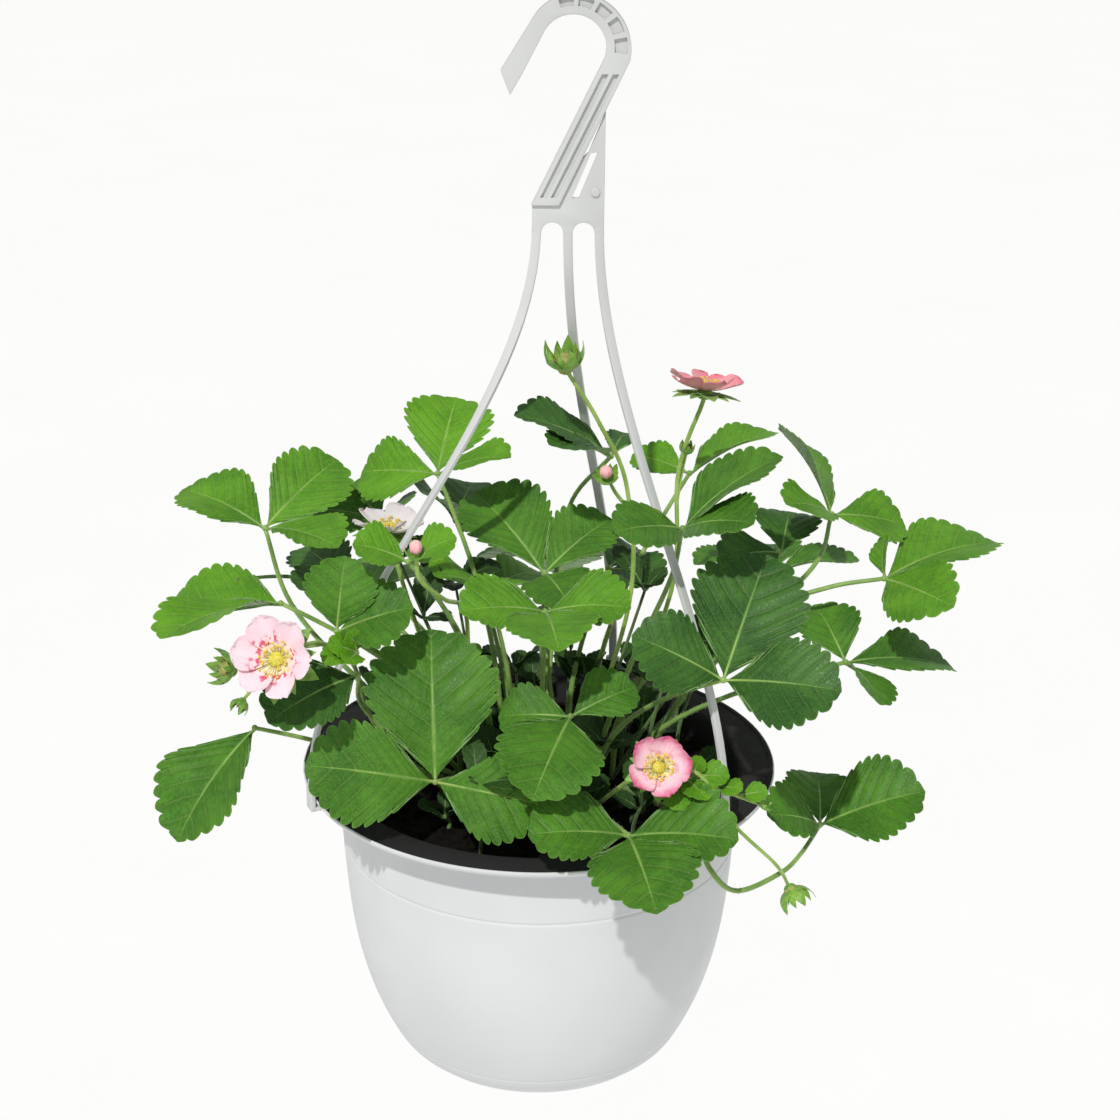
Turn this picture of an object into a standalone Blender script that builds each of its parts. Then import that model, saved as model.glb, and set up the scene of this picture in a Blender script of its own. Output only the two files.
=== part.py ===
"""A potted strawberry plant: a white hanging pot with its one-piece plastic hanger, soil and the plant.

Everything is drawn in millimetres and brought to metres at the end. The drawing's origin is the
centre of the pot's rim, +Z is up and -Y is the front. Every object hangs from the empty
"rim_centre", which puts the seat of the hook at the world origin.
"""

import math
from collections import namedtuple

import bmesh
import bpy
from mathutils import Matrix, Vector

MM = 0.001
GAP = 0.3  # between neighbouring pieces

# The hook's seat, from the centre of the rim
SEAT_X = 14.0
SEAT_Z = 392.0

# Pot
RIM_RADIUS = 125.0
RIM_LIP = 3.4
BEAD_WIDTH = 2.6
BEAD_HEIGHT = 0.8
FLANGE_THICK = 1.8
POT_HEIGHT = 166.0
BASE_RADIUS = 63.0
WALL_THICK = 1.8
FLOOR_THICK = 2.4
WALL = ((107.0, -8), (101.5, -80), (93.0, -121), (80.0, -152), (70.0, -163))
POT_STEPS = 32

# Soil
SOIL_TOP = -16.0
SOIL_CROWN = 5.0  # how much higher the middle stands than the edge
SOIL_GAP = 0.8
SOIL_STEPS = 20
HOLE_DEPTH = 11.0
HOLE_CLEARANCE = 0.5

# Hanger, in front view; the hook's round part is centred one inner radius below the seat
HOOK_INNER = 15.7
HOOK_BAND = 12.0
HOOK_DEPTH = 6.0
POCKET_DEPTH = 1.9
WEB_DEPTH = 2.4
PLATE_RIGHT = SEAT_X + 16.0
PLATE_TOP = SEAT_Z - 46.0
PLATE_FOOT = SEAT_Z - 99.0
STRAND_WIDTH = 4.6
STRAND_THICK = 2.4
STRAND_TOPS = (-2.9, 12.4, 27.7)  # x of each strand below the plate: left, back, right
STRAND_AZIMUTHS = (-157, 71, -42)
STRAND_HANDLE = 100.0
STRAND_STEPS = 12
CLIP_WIDTH = 8.0
CLIP_THICK = 2.6
CLIP_TOP = 6.0
CLIP_REACH = 8.0

# Foliage
BLADE_THICK = 0.7
STALK_RADIUS = 1.4
HUB_RADIUS = 3.4
STALK_POINTS = 5
STALK_FREE = 2.5  # a stalk stands upright this far out of its hole
LARGE_TEETH = 4
SMALL_TEETH = 3
SMALL_LEAFLET = 62.0
TOOTH_START = 0.2
TOOTH_DEPTH = 0.05
VEIN_LAG = 0.2
WIDTH_RATIO = 0.84
WIDEST = 0.58  # share of a leaflet's length where it is widest
ARCH = 30.0  # degrees that the midrib turns from hub to tip
LEAFLET_STALK = 1.2  # from the hub's middle to where a blade starts
INNER_LOSS = 0.4  # share of its width that a side leaflet's inner half lacks at the base
FOLD = 14.0  # degrees that each half rises from the midrib

MATERIALS = {
    "white_plastic": ((0.86, 0.87, 0.86), 0.35),
    "soil": ((0.035, 0.024, 0.017), 0.95),
    "leaf": ((0.09, 0.25, 0.025), 0.5),
    "calyx": ((0.16, 0.36, 0.03), 0.5),
    "petal": ((0.85, 0.42, 0.52), 0.6),
    "pollen": ((0.82, 0.6, 0.05), 0.7),
}

# A leaf: where its leaflets meet, the tip of each leaflet from there, the way the upper side of
# all or of each of them faces, and the points that its stalk passes if it can't run freely.
Leaf = namedtuple("Leaf", "name hub tips faces via ratio", defaults=((), WIDTH_RATIO))
LEAVES = (
    Leaf("leaf_front_left", (-51, -78, 25), ((-4, 46, 63), (-64, -9, 13), (57, -13, -7)), ((0, -0.8, 0.6),)),
    Leaf("leaf_left_droop", (-146, -35, 33), ((-36, -40, -45),), ((-0.5, -0.5, 0.7),),
         ((-90, -18, 10), (-122, -24, 22))),
    Leaf("leaf_top_left", (-144, 20, 122), ((-46, 24, 12), (35, 40, 24), (41, -32, 2)),
         ((0.12, -0.25, 0.96), (0, -0.6, 0.8), (-0.02, 0.03, 1)), ((-98, 10, 42), (-131, 14, 82))),
    Leaf("leaf_far_left", (-134, -5, 90), ((-67, 31, -22), (-54, -53, 3)),
         ((-0.35, -0.1, 0.93), (-0.09, 0.15, 0.98)), (), 0.74),
    Leaf("leaf_left_mid", (-101, -50, 94), ((4, 12, 36), (39, -6, 16)), ((0, -0.9, 0.45), (0, -0.6, 0.8)),
         (), 0.95),
    Leaf("leaf_under_flower", (-90, -60, 75), ((-42, -29, -13),), ((-0.1, -0.45, 0.9),),
         ((-64, -36, 20), (-89, -45, 50)), 0.95),
    Leaf("leaf_top_mid", (-55, 45, 144), ((8, 47, 27), (-42, 23, -8), (39, -15, 15)),
         ((0, -0.7, 0.7), (0, -0.7, 0.7), (-0.37, 0.02, 0.93))),
    Leaf("leaf_centre_high", (2, 15, 100), ((14, -43, -2), (-38, 40, 30), (35, 24, 22)), ((0, -0.4, 0.9),)),
    Leaf("leaf_centre_mid", (3, -50, 106), ((7, -53, 2), (-42, -20, 8), (42, -18, 10)), ((0, -0.4, 0.9),)),
    Leaf("leaf_centre_low", (16, -70, 58), ((-18, -56, -18), (-36, 7, -4), (33, 14, 10)), ((0, -0.6, 0.8),)),
    Leaf("leaf_front_rim", (45, -108, 12), ((12, -60, -9), (-49, -17, 9), (52, -22, 10)),
         ((0, -0.5, 0.85),)),
    Leaf("leaf_right_big", (90, -88, 87), ((22, 38, 51), (-45, -4, 25), (55, -22, 5)), ((0, -0.7, 0.7),)),
    Leaf("leaf_right_mid", (159, -10, 62), ((-14, 34, 18), (58, 16, -9), (14, -36, -7)),
         ((0.1, -0.7, 0.7), (0.16, -0.04, 0.99), (0.57, 0.06, 0.82))),
    Leaf("leaf_far_right", (179, 10, 101), ((62, 25, 11), (30, -42, 2), (1, 12, 20)),
         ((-0.17, 0, 0.98), (0, -0.8, 0.6), (-0.93, -0.29, 0.22)),
         ((80, 5, 42), (118, 8, 82), (150, 9, 96))),
    Leaf("leaf_top_right", (153, 35, 127), ((-26, 41, 33), (41, 13, -11), (-27, -28, 16)),
         ((0.79, 0.03, 0.61), (0, -0.5, 0.85), (0.51, -0.01, 0.86)), ((100, 22, 55), (144, 32, 98))),
    Leaf("leaf_upper_right", (70, -50, 151), ((49, 14, 33), (-34, -26, 8), (32, -34, 16)),
         ((-0.55, -0.06, 0.84), (0, -0.5, 0.85), (0.1, -0.5, 0.85)), ((46, -18, 60), (66, -22, 112))),
    Leaf("leaf_back_right", (80, 80, 133), ((48, 20, 17), (-31, 15, 5)),
         ((-0.35, 0.06, 0.93), (0, -0.4, 0.9))),
    Leaf("leaf_right_inner", (126, 20, 111), ((7, 40, 8), (-34, -24, 5)), ((0, -0.5, 0.85),)),
    Leaf("leaf_back_arched", (36, 27, 161), ((-50, -15, 27), (8, 29, 3), (-32, -34, 18)),
         ((0, -0.2, 0.95),), ((4, 26, 40), (8, 50, 85), (16, 56, 125)), 0.62),
    Leaf("leaf_left_back", (-86, 60, 112), ((-39, -10, 9), (-22, 30, 8), (11, -32, 18)), ((0, -0.5, 0.85),)),
    Leaf("leaf_left_bud", (-65, -45, 130), ((-27, -5, 11), (24, 0, 13)), ((0, -0.35, 0.94),), (), 1.05),
    Leaf("leaf_mid_pale", (-28, 25, 86), ((-26, -30, 20), (26, 35, -3)), ((0, -0.3, 0.95),)),
    Leaf("leaf_back_dark", (-47, 75, 106), ((-16, -30, 27), (8, 42, 7), (25, -26, 5)), ((0, -0.4, 0.9),)),
    Leaf("leaf_low_right", (146, -46, -14), ((52, -6, 23), (-30, -26, 19), (2, 42, 9)),
         ((0.1, -0.5, 0.85),),
         ((76, -86, 8), (85, -107, -6), (99, -105, -20), (122, -87, -20), (134, -70, -18))),
    Leaf("leaf_back_low", (11, 130, 61), ((0, 46, -28), (-52, 5, -3), (52, 5, -1)), ((0, 0.3, 0.95),)),
    Leaf("leaf_back_left", (-91, 110, 52), ((-32, 43, -5), (-25, -40, 1), (33, 30, -3)), ((0, 0.2, 0.95),)),
    Leaf("leaf_back_right_low", (131, 100, 68), ((47, 3, 6), (-47, -15, 10), (1, 44, -1)),
         ((0, 0.1, 0.95),)),
    Leaf("leaf_left_shade", (-106, 55, 76), ((-26, 34, 8), (-21, -34, 11)), ((0, -0.3, 0.95),)),
    Leaf("leaf_centre_shade", (36, 50, 89), ((28, -26, 2), (19, 37, -4)), ((0, -0.3, 0.95),)),
)

# A flower: its middle, the way it faces, its radius, how far its petals rise in degrees, their number
Flower = namedtuple("Flower", "name middle face radius rise petals")
# A calyx after flowering or round a bud: its middle, the way it faces, its radius, how far it closes
Calyx = namedtuple("Calyx", "middle face radius closing")
# A bud's petals: their name, their radius and the place in the truss's list of the calyx round them
Bud = namedtuple("Bud", "name radius calyx")
# A truss: a main stalk from the soil, side stalks from it, and the heads that they carry
Truss = namedtuple("Truss", "name main sides flowers calyxes buds")
TRUSSES = (
    Truss("truss_left",
          ((-40, -34, 0), (-82, -38, 34), (-94, -44, 74), (-108, -60, 92), (-119, -84, 99)),
          (((-106, -60, 90), (-128, -66, 90), (-150, -76, 84)), ((-114, -70, 93), (-132, -76, 84), (-145, -80, 70))),
          (Flower("left", (-125, -96, 99), (-0.2, -0.85, 0.5), 25, 18, 6),),
          (Calyx((-150, -76, 84), (-0.8, -0.4, 0.4), 14, 50), Calyx((-145, -80, 70), (-0.4, -0.5, -0.7), 8, 60)),
          ()),
    Truss("truss_right",
          ((24, -46, 0), (42, -82, 26), (55, -91, 40)),
          (((50, -88, 36), (77, -102, 44), (97, -104, 16), (119, -96, -10), (127, -91, -26)),
           ((52, -88, 37), (70, -93, 38), (86, -98, 34), (110, -97, 24))),
          (Flower("right", (59, -100, 45), (0.05, -0.85, 0.55), 20, 24, 5),),
          (Calyx((127, -91, -26), (0.5, -0.3, -0.8), 14, 50), Calyx((86, -98, 34), (-0.3, -0.2, 0.9), 6, 50),
           Calyx((110, -97, 24), (0.8, -0.2, 0.4), 6, 50)),
          ()),
    Truss("truss_back",
          ((34, 20, 0), (68, 12, 90), (71, 26, 152), (82, 21, 192)),
          (((68, 24, 138), (73, 29, 152), (75, 28, 163)),),
          (Flower("back", (83, 20, 199), (0.1, 0.2, 1), 22, 12, 5),),
          (Calyx((75, 28, 163), (0.1, -0.2, 1), 7, 60),),
          ()),
    Truss("truss_shade",
          ((-26, -8, 0), (-58, -4, 60), (-77, 4, 119)),
          (),
          (Flower("shade", (-79, 5, 126), (0.05, 0.05, 1), 21, 14, 5),),
          (),
          ()),
    Truss("truss_bud",
          ((-30, -26, 0), (-36, -20, 60), (-38, -26, 96), (-47, -50, 112), (-58, -62, 127), (-60, -64, 140)),
          (),
          (),
          (Calyx((-60, -64, 140), (0, -0.3, 1), 7.5, 45),),
          (Bud("pink", 3.3, 0),)),
    Truss("truss_high",
          ((18, -10, 0), (46, -2, 90), (44, 3, 152), (29, 2, 188), (12, -2, 217)),
          (((46, 1, 140), (38, -6, 153), (34, -7, 161)),),
          (),
          (Calyx((34, -7, 161), (-0.2, -0.6, 0.8), 9, 40), Calyx((12, -2, 217), (-0.1, -0.1, 1), 17, 55)),
          (Bud("opening", 3.3, 0),)),
)
FLOWER_STALK_RADIUS = 1.1
PETAL_THICK = 0.7
PETAL_DISC = 3.4
PETAL_TOP = 2.4  # top of the petals' disc above the flower's middle
CALYX_DROP = 1.4  # a flower's calyx below its middle
LARGE_LOBES = 10
SMALL_LOBES = 5
STAMENS = 6


def clear_scene():
    for obj in list(bpy.data.objects):
        bpy.data.objects.remove(obj)


def make_material(name):
    colour, roughness = MATERIALS[name]
    material = bpy.data.materials.new(name)
    material.use_nodes = True
    shader = material.node_tree.nodes["Principled BSDF"]
    shader.inputs["Base Color"].default_value = (*colour, 1.0)
    shader.inputs["Roughness"].default_value = roughness
    return material


def add_object(name, data):
    obj = bpy.data.objects.new(name, data)
    bpy.context.scene.collection.objects.link(obj)
    return obj


def baked(obj):
    """The object's evaluated shape as a plain mesh object, in place of the object itself."""
    bpy.context.view_layer.update()
    graph = bpy.context.evaluated_depsgraph_get()
    mesh = bpy.data.meshes.new_from_object(obj.evaluated_get(graph))
    mesh.transform(obj.matrix_world)
    if obj.type == "CURVE":
        bm = bmesh.new()
        bm.from_mesh(mesh)
        bmesh.ops.remove_doubles(bm, verts=bm.verts, dist=1e-4)
        bm.to_mesh(mesh)
        bm.free()
    name = obj.name
    bpy.data.objects.remove(obj)
    return add_object(name, mesh)


def combined(base, others, operation):
    """Joins or cuts a mesh object with a list of closed mesh objects, which are used up."""
    tools = bpy.data.collections.new("tools")
    bpy.context.scene.collection.children.link(tools)
    for other in others:
        bpy.context.scene.collection.objects.unlink(other)
        tools.objects.link(other)
    boolean = base.modifiers.new("combine", "BOOLEAN")
    boolean.operation = operation
    boolean.operand_type = "COLLECTION"
    boolean.collection = tools
    boolean.solver = "MANIFOLD"
    result = baked(base)
    for other in others:
        bpy.data.objects.remove(other)
    bpy.data.collections.remove(tools)
    return result


def fused(name, pieces):
    result = combined(pieces[0], pieces[1:], "UNION")
    result.name = name
    return result


def sheet(name, points, triangles, thickness):
    """An open surface of triangles, thickened alike on both faces."""
    mesh = bpy.data.meshes.new(name)
    mesh.from_pydata([tuple(p) for p in points], [], triangles)
    obj = add_object(name, mesh)
    solidify = obj.modifiers.new("thickness", "SOLIDIFY")
    solidify.thickness = thickness
    solidify.offset = 0.0
    return baked(obj)


def tube(name, points, radius, end_radius=None, resolution=0):
    """A stalk through the given points, tapering to its end; resolution 0 gives it four sides."""
    end_radius = radius if end_radius is None else end_radius
    curve = bpy.data.curves.new(name, "CURVE")
    curve.dimensions = "3D"
    curve.bevel_depth = radius
    curve.bevel_resolution = resolution
    curve.use_fill_caps = True
    spline = curve.splines.new("POLY")
    spline.points.add(len(points) - 1)
    for i, (target, point) in enumerate(zip(spline.points, points)):
        target.co = (*point, 1.0)
        target.radius = 1 + (end_radius / radius - 1) * i / (len(points) - 1)
    return baked(add_object(name, curve))


def ball(name, middle, radii, around=4, rings=2):
    bm = bmesh.new()
    bmesh.ops.create_uvsphere(bm, u_segments=around, v_segments=rings, radius=1.0)
    bmesh.ops.transform(bm, matrix=Matrix.Diagonal((*radii, 1.0)), verts=bm.verts)
    bmesh.ops.translate(bm, vec=middle, verts=bm.verts)
    mesh = bpy.data.meshes.new(name)
    bm.to_mesh(mesh)
    bm.free()
    return add_object(name, mesh)


def block(name, size, matrix):
    bm = bmesh.new()
    bmesh.ops.create_cube(bm, size=1.0)
    bmesh.ops.transform(bm, matrix=matrix @ Matrix.Diagonal((*size, 1.0)), verts=bm.verts)
    mesh = bpy.data.meshes.new(name)
    bm.to_mesh(mesh)
    bm.free()
    return add_object(name, mesh)


def turned(name, profile, steps):
    """A solid of revolution; the profile of (radius, height) runs down the outer side."""
    mesh = bpy.data.meshes.new(name)
    edges = [(i, i + 1) for i in range(len(profile) - 1)]
    mesh.from_pydata([(r, 0, z) for r, z in profile], edges, [])
    obj = add_object(name, mesh)
    screw = obj.modifiers.new("turn", "SCREW")
    screw.steps = steps
    screw.render_steps = steps
    screw.use_merge_vertices = True
    screw.merge_threshold = 1e-4
    return baked(obj)


def standing_plate(name, outline, depth, middle=0.0):
    """A flat outline of (x, z) points, as thick as depth and centred on y = middle."""
    curve = bpy.data.curves.new(name, "CURVE")
    curve.dimensions = "2D"
    curve.fill_mode = "BOTH"
    curve.extrude = depth / 2
    spline = curve.splines.new("POLY")
    spline.points.add(len(outline) - 1)
    for target, (x, z) in zip(spline.points, outline):
        target.co = (x, z, 0, 1)
    spline.use_cyclic_u = True
    obj = add_object(name, curve)
    obj.rotation_euler.x = math.radians(90)
    obj.location.y = middle
    return baked(obj)


def arc(middle, radius, start, end, count):
    """Points from start to end degrees; the radius may change evenly as a pair of values."""
    first, last = radius if isinstance(radius, tuple) else (radius, radius)
    points = []
    for i in range(count):
        share = i / (count - 1)
        angle = math.radians(start + (end - start) * share)
        r = first + (last - first) * share
        points.append((middle[0] + r * math.cos(angle), middle[1] + r * math.sin(angle)))
    return points


def bezier(p0, p1, p2, p3, count):
    points = []
    for i in range(count):
        t = i / (count - 1)
        s = 1 - t
        points.append(p0 * s**3 + p1 * 3 * s * s * t + p2 * 3 * s * t * t + p3 * t**3)
    return points


def smooth_path(route, count):
    """Points of a smooth curve through the route's own points."""
    route = [Vector(p) for p in route]
    padded = [2 * route[0] - route[1], *route, 2 * route[-1] - route[-2]]
    points = []
    for i in range(count):
        place = i / (count - 1) * (len(route) - 1)
        k = min(int(place), len(route) - 2)
        t = place - k
        a, b, c, d = padded[k : k + 4]
        points.append(0.5 * (2 * b + (c - a) * t + (2 * a - 5 * b + 4 * c - d) * t * t
                             + (3 * b - 3 * c + d - a) * t**3))
    return points


def wall_profile(inset, top, bottom):
    """The pot's wall from top to bottom, moved in by inset."""
    heights = [z for _, z in WALL]
    inside = [(r - inset, z) for r, z in WALL if bottom < z < top]

    def radius_at(height):
        for (r0, z0), (r1, z1) in zip(WALL, WALL[1:]):
            if z1 <= height <= z0:
                return r0 + (r1 - r0) * (z0 - height) / (z0 - z1)
        return WALL[0][0] if height > heights[0] else WALL[-1][0]

    return [(radius_at(top) - inset, top), *inside, (radius_at(bottom) - inset, bottom)]


def make_pot():
    flange_top = -BEAD_HEIGHT
    underside = flange_top - FLANGE_THICK
    floor = FLOOR_THICK - POT_HEIGHT
    inner = wall_profile(WALL_THICK, WALL[0][1], floor + 2)
    profile = [
        (0, floor),
        (BASE_RADIUS - 1, floor),
        *reversed(inner),
        (WALL[0][0] + 1.5, flange_top),
        (RIM_RADIUS - BEAD_WIDTH - 0.4, flange_top),
        (RIM_RADIUS - BEAD_WIDTH, 0),
        (RIM_RADIUS - 0.3, 0),
        (RIM_RADIUS, -0.5),
        (RIM_RADIUS, -RIM_LIP),
        (RIM_RADIUS - 1.5, -RIM_LIP),
        (RIM_RADIUS - 2, underside),
        (WALL[0][0] + 1.5, underside),
        *WALL,
        (BASE_RADIUS, -POT_HEIGHT),
        (0, -POT_HEIGHT),
    ]
    return turned("pot", profile, POT_STEPS)


def soil_height(x, y):
    edge = WALL[0][0] - WALL_THICK
    return SOIL_TOP + SOIL_CROWN * (1 - (x * x + y * y) / edge**2)


def make_soil(roots):
    inset = WALL_THICK + SOIL_GAP
    floor = FLOOR_THICK - POT_HEIGHT + GAP
    wall = wall_profile(inset, SOIL_TOP, floor + 3)
    crown = [(r, soil_height(r, 0)) for r in (0, 60)]
    profile = [*crown, *wall, (BASE_RADIUS - 5, floor), (0, floor)]
    soil = turned("soil", profile, SOIL_STEPS)
    cutters = []
    for i, (place, radius) in enumerate(roots):
        bottom = soil_height(place.x, place.y) - HOLE_DEPTH
        ends = [Vector((place.x, place.y, bottom)), Vector((place.x, place.y, SOIL_TOP + 20))]
        cutters.append(tube(f"hole_{i}", ends, radius + 1.5 * HOLE_CLEARANCE))
    return combined(soil, cutters, "DIFFERENCE")


def hook_outline():
    """The hook and the slanting arm below it, seen from the front."""
    middle = (SEAT_X, SEAT_Z - HOOK_INNER)
    outer = arc(middle, (HOOK_INNER + HOOK_BAND, HOOK_INNER + 8), 0, 140, 11)
    inner = arc(middle, HOOK_INNER, 150, 0, 11)
    tip = [(SEAT_X - 34.5, SEAT_Z - 27), (SEAT_X - 30, SEAT_Z - 38.5), (SEAT_X - 24.5, SEAT_Z - 29)]
    foot = [(SEAT_X - 19.5, PLATE_FOOT + 7), (SEAT_X - 6.0, PLATE_FOOT + 7)]
    bend = [(SEAT_X + HOOK_INNER - 0.6, middle[1] - 5)]
    outer_bend = [(SEAT_X + HOOK_INNER + HOOK_BAND - 0.5, middle[1] - 6)]
    return [*outer, *tip, *inner, *bend, *foot, *outer_bend]


def plate_outline():
    """The triangular plate beside the arm, with an arch between each pair of strands."""
    half = STRAND_WIDTH / 2
    left, back, right = STRAND_TOPS
    foot = PLATE_FOOT - 7
    points = [(PLATE_RIGHT, PLATE_TOP), (SEAT_X + 8, PLATE_TOP - 20), (left - half, PLATE_FOOT + 8)]
    points.append((left - half, foot))
    for a, b in ((left, back), (back, right)):
        radius = (b - a) / 2 - half
        points += arc(((a + b) / 2, foot), radius, 180, 0, 7)
    points += [(right + half, foot), (PLATE_RIGHT, PLATE_FOOT)]
    return points


def hook_pockets():
    """The recesses between ribs, in the round part's outer half and along the arm, on both faces."""
    middle = (SEAT_X, SEAT_Z - HOOK_INNER)
    outlines = []
    for start in range(-6, 114, 24):
        outer_radius = HOOK_INNER + HOOK_BAND - 1.8 - 3.6 * max(start, 0) / 140
        ring = arc(middle, outer_radius, start, start + 18, 3)
        outlines.append(ring + arc(middle, HOOK_INNER + 4.0, start + 18, start, 3))
    for inner_offset, outer_offset in ((2.0, 5.2), (7.2, 10.2)):
        top, foot = SEAT_Z - 28, PLATE_FOOT + 11
        slope = (35.0 - 2) / (SEAT_Z - 24 - PLATE_FOOT - 7)

        def on_arm(offset, z):
            return SEAT_X + HOOK_INNER - 1 + offset - (SEAT_Z - 22 - z) * slope, z

        outlines.append([on_arm(inner_offset, top), on_arm(inner_offset, foot),
                         on_arm(outer_offset, foot), on_arm(outer_offset, top)])
    cutters = []
    for i, outline in enumerate(outlines):
        for face in (-1, 1):
            middle_y = face * HOOK_DEPTH / 2
            cutters.append(standing_plate(f"pocket_{i}_{face}", outline, 2 * POCKET_DEPTH, middle_y))
    return cutters


def strand_sections(top_x, azimuth):
    """Four corners at each step of a flat strand, from the plate down to its clip on the rim."""
    angle = math.radians(azimuth)
    outward = Vector((math.cos(angle), math.sin(angle), 0))
    along_rim = Vector((-math.sin(angle), math.cos(angle), 0))
    if along_rim.x < 0:
        along_rim = -along_rim
    start = Vector((top_x, 0, PLATE_FOOT - 3))
    end = outward * (RIM_RADIUS + GAP + CLIP_THICK / 2) + Vector((0, 0, CLIP_TOP - 2))
    drop = Vector((0, 0, STRAND_HANDLE))
    path = bezier(start, start - drop, end + drop, end, STRAND_STEPS)
    sections = []
    for i, point in enumerate(path):
        share = i / (len(path) - 1)
        tangent = (path[min(i + 1, len(path) - 1)] - path[max(i - 1, 0)]).normalized()
        wide = Vector((1, 0, 0)).lerp(along_rim, min(1, 2 * share))
        wide = (wide - tangent * wide.dot(tangent)).normalized() * STRAND_WIDTH / 2
        thin = tangent.cross(wide).normalized() * STRAND_THICK / 2
        sections.append([point - wide - thin, point + wide - thin, point + wide + thin, point - wide + thin])
    return sections


def lofted(name, sections):
    """A closed solid through sections that all have the same number of corners."""
    bm = bmesh.new()
    rings = [[bm.verts.new(corner) for corner in section] for section in sections]
    for lower, upper in zip(rings, rings[1:]):
        for i in range(len(lower)):
            j = (i + 1) % len(lower)
            bm.faces.new((lower[i], lower[j], upper[j], upper[i]))
    bm.faces.new(rings[0])
    bm.faces.new(rings[-1])
    bmesh.ops.recalc_face_normals(bm, faces=bm.faces)
    mesh = bpy.data.meshes.new(name)
    bm.to_mesh(mesh)
    bm.free()
    return add_object(name, mesh)


def clip_blocks(azimuth):
    """The strand's end outside the rim, and the hook below it that grips the flange."""
    turn = Matrix.Rotation(math.radians(azimuth), 4, "Z")
    outside = RIM_RADIUS + GAP
    bottom = -RIM_LIP - GAP - 2.2
    height = CLIP_TOP - bottom
    post = turn @ Matrix.Translation((outside + CLIP_THICK / 2, 0, CLIP_TOP - height / 2))
    toe = turn @ Matrix.Translation((outside + CLIP_THICK / 2 - CLIP_REACH / 2, 0, bottom + 1.1))
    return [
        block("clip_post", (CLIP_THICK, CLIP_WIDTH, height), post),
        block("clip_toe", (CLIP_REACH + CLIP_THICK - 0.2, CLIP_WIDTH - 0.4, 2.2), toe),
    ]


def make_hanger():
    hook = combined(standing_plate("hook", hook_outline(), HOOK_DEPTH), hook_pockets(), "DIFFERENCE")
    plate = standing_plate("plate", plate_outline(), WEB_DEPTH)
    slot = [(SEAT_X + 12.5, PLATE_FOOT + 33), (SEAT_X + 9.2, PLATE_FOOT + 32.5),
            (SEAT_X + 0.2, PLATE_FOOT + 10.5), (SEAT_X + 3.5, PLATE_FOOT + 10.5)]
    plate = combined(plate, [standing_plate("slot", slot, 3 * WEB_DEPTH)], "DIFFERENCE")
    boss_ends = [Vector((SEAT_X + 11.6, y, PLATE_FOOT + 13.5)) for y in (-2.2, 2.2)]
    pieces = [hook, plate, tube("boss", boss_ends, 2.2, resolution=2)]
    for i, (top_x, azimuth) in enumerate(zip(STRAND_TOPS, STRAND_AZIMUTHS)):
        pieces.append(lofted(f"strand_{i}", strand_sections(top_x, azimuth)))
        pieces += clip_blocks(azimuth)
    return fused("hanger", pieces)


def half_width(s):
    """Half the width of a leaflet at share s of its length, as a share of the greatest."""
    if s < WIDEST:
        return math.sin(math.pi / 2 * s / WIDEST) ** 1.2
    return math.cos(math.pi / 2 * (s - WIDEST) / (1 - WIDEST)) ** 0.66


def half_outline(teeth):
    """Edge points (share of length, share of half width) of one half: notch, tooth, notch and so on."""
    notches = [TOOTH_START + (0.95 - TOOTH_START) * (k / teeth) ** 0.9 for k in range(teeth + 1)]
    points = [(notches[0], half_width(notches[0]))]
    for notch, following in zip(notches, notches[1:]):
        tip = notch + 0.72 * (following - notch)
        points.append((tip + 0.012, half_width(tip) + TOOTH_DEPTH))
        points.append((following, max(half_width(following) - TOOTH_DEPTH, 0.05)))
    return points


def leaflet(name, hub, tip, face, ratio, inner_side=0):
    """A toothed blade from the hub to its tip, arched along and folded up from the midrib."""
    tip = Vector(tip)
    length = tip.length
    along = tip.normalized()
    up = Vector(face) - along * Vector(face).dot(along)
    up.normalize()
    across = up.cross(along)
    half = ratio * length / 2
    turn = math.radians(ARCH)
    arc_radius = length / (2 * math.sin(turn / 2))

    def place(s, side, width):
        angle = turn * (s - 0.5)
        x = length / 2 + arc_radius * math.sin(angle)
        x += LEAFLET_STALK * (1 - s)
        z = arc_radius * (math.cos(angle) - math.cos(turn / 2))
        y = width * half
        if side == inner_side:
            y *= 1 - INNER_LOSS * (1 - s)
        return hub + along * x + across * (side * y) + up * (z + y * math.tan(math.radians(FOLD)))

    teeth = SMALL_TEETH if length < SMALL_LEAFLET else LARGE_TEETH
    outline = half_outline(teeth)
    roots = [s - VEIN_LAG * half_width(s) for s, _ in outline[2::2]]
    points = [place(s, 1, 0) for s in (0, *roots, 1)]
    ribs = len(points)
    triangles = []
    for side in (1, -1):
        edge = len(points)
        points += [place(s, side, width) for s, width in outline]
        faces = []
        for k in range(teeth):
            notch = edge + 2 * k
            faces += [(k, notch + 1, notch), (k, notch + 2, notch + 1), (k, k + 1, notch + 2)]
        faces.append((ribs - 2, ribs - 1, len(points) - 1))
        triangles += faces if side == -1 else [face[::-1] for face in faces]
    return sheet(name, points, triangles, BLADE_THICK)


def root_of(leaf):
    """Where a leaf's stalk leaves the soil: on the way from the middle to its hub."""
    hub = Vector(leaf.hub)
    flat = Vector((hub.x, hub.y, 0))
    return flat * (0.25 + 8 / max(flat.length, 16))


def rising(root, route, count):
    """A stalk's points: straight up out of its hole, then smoothly along its route."""
    surface = Vector((root.x, root.y, soil_height(root.x, root.y)))
    clear = surface + Vector((0, 0, STALK_FREE))
    return [surface - Vector((0, 0, HOLE_DEPTH - 1)), *smooth_path((clear, *route), count)]


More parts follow.
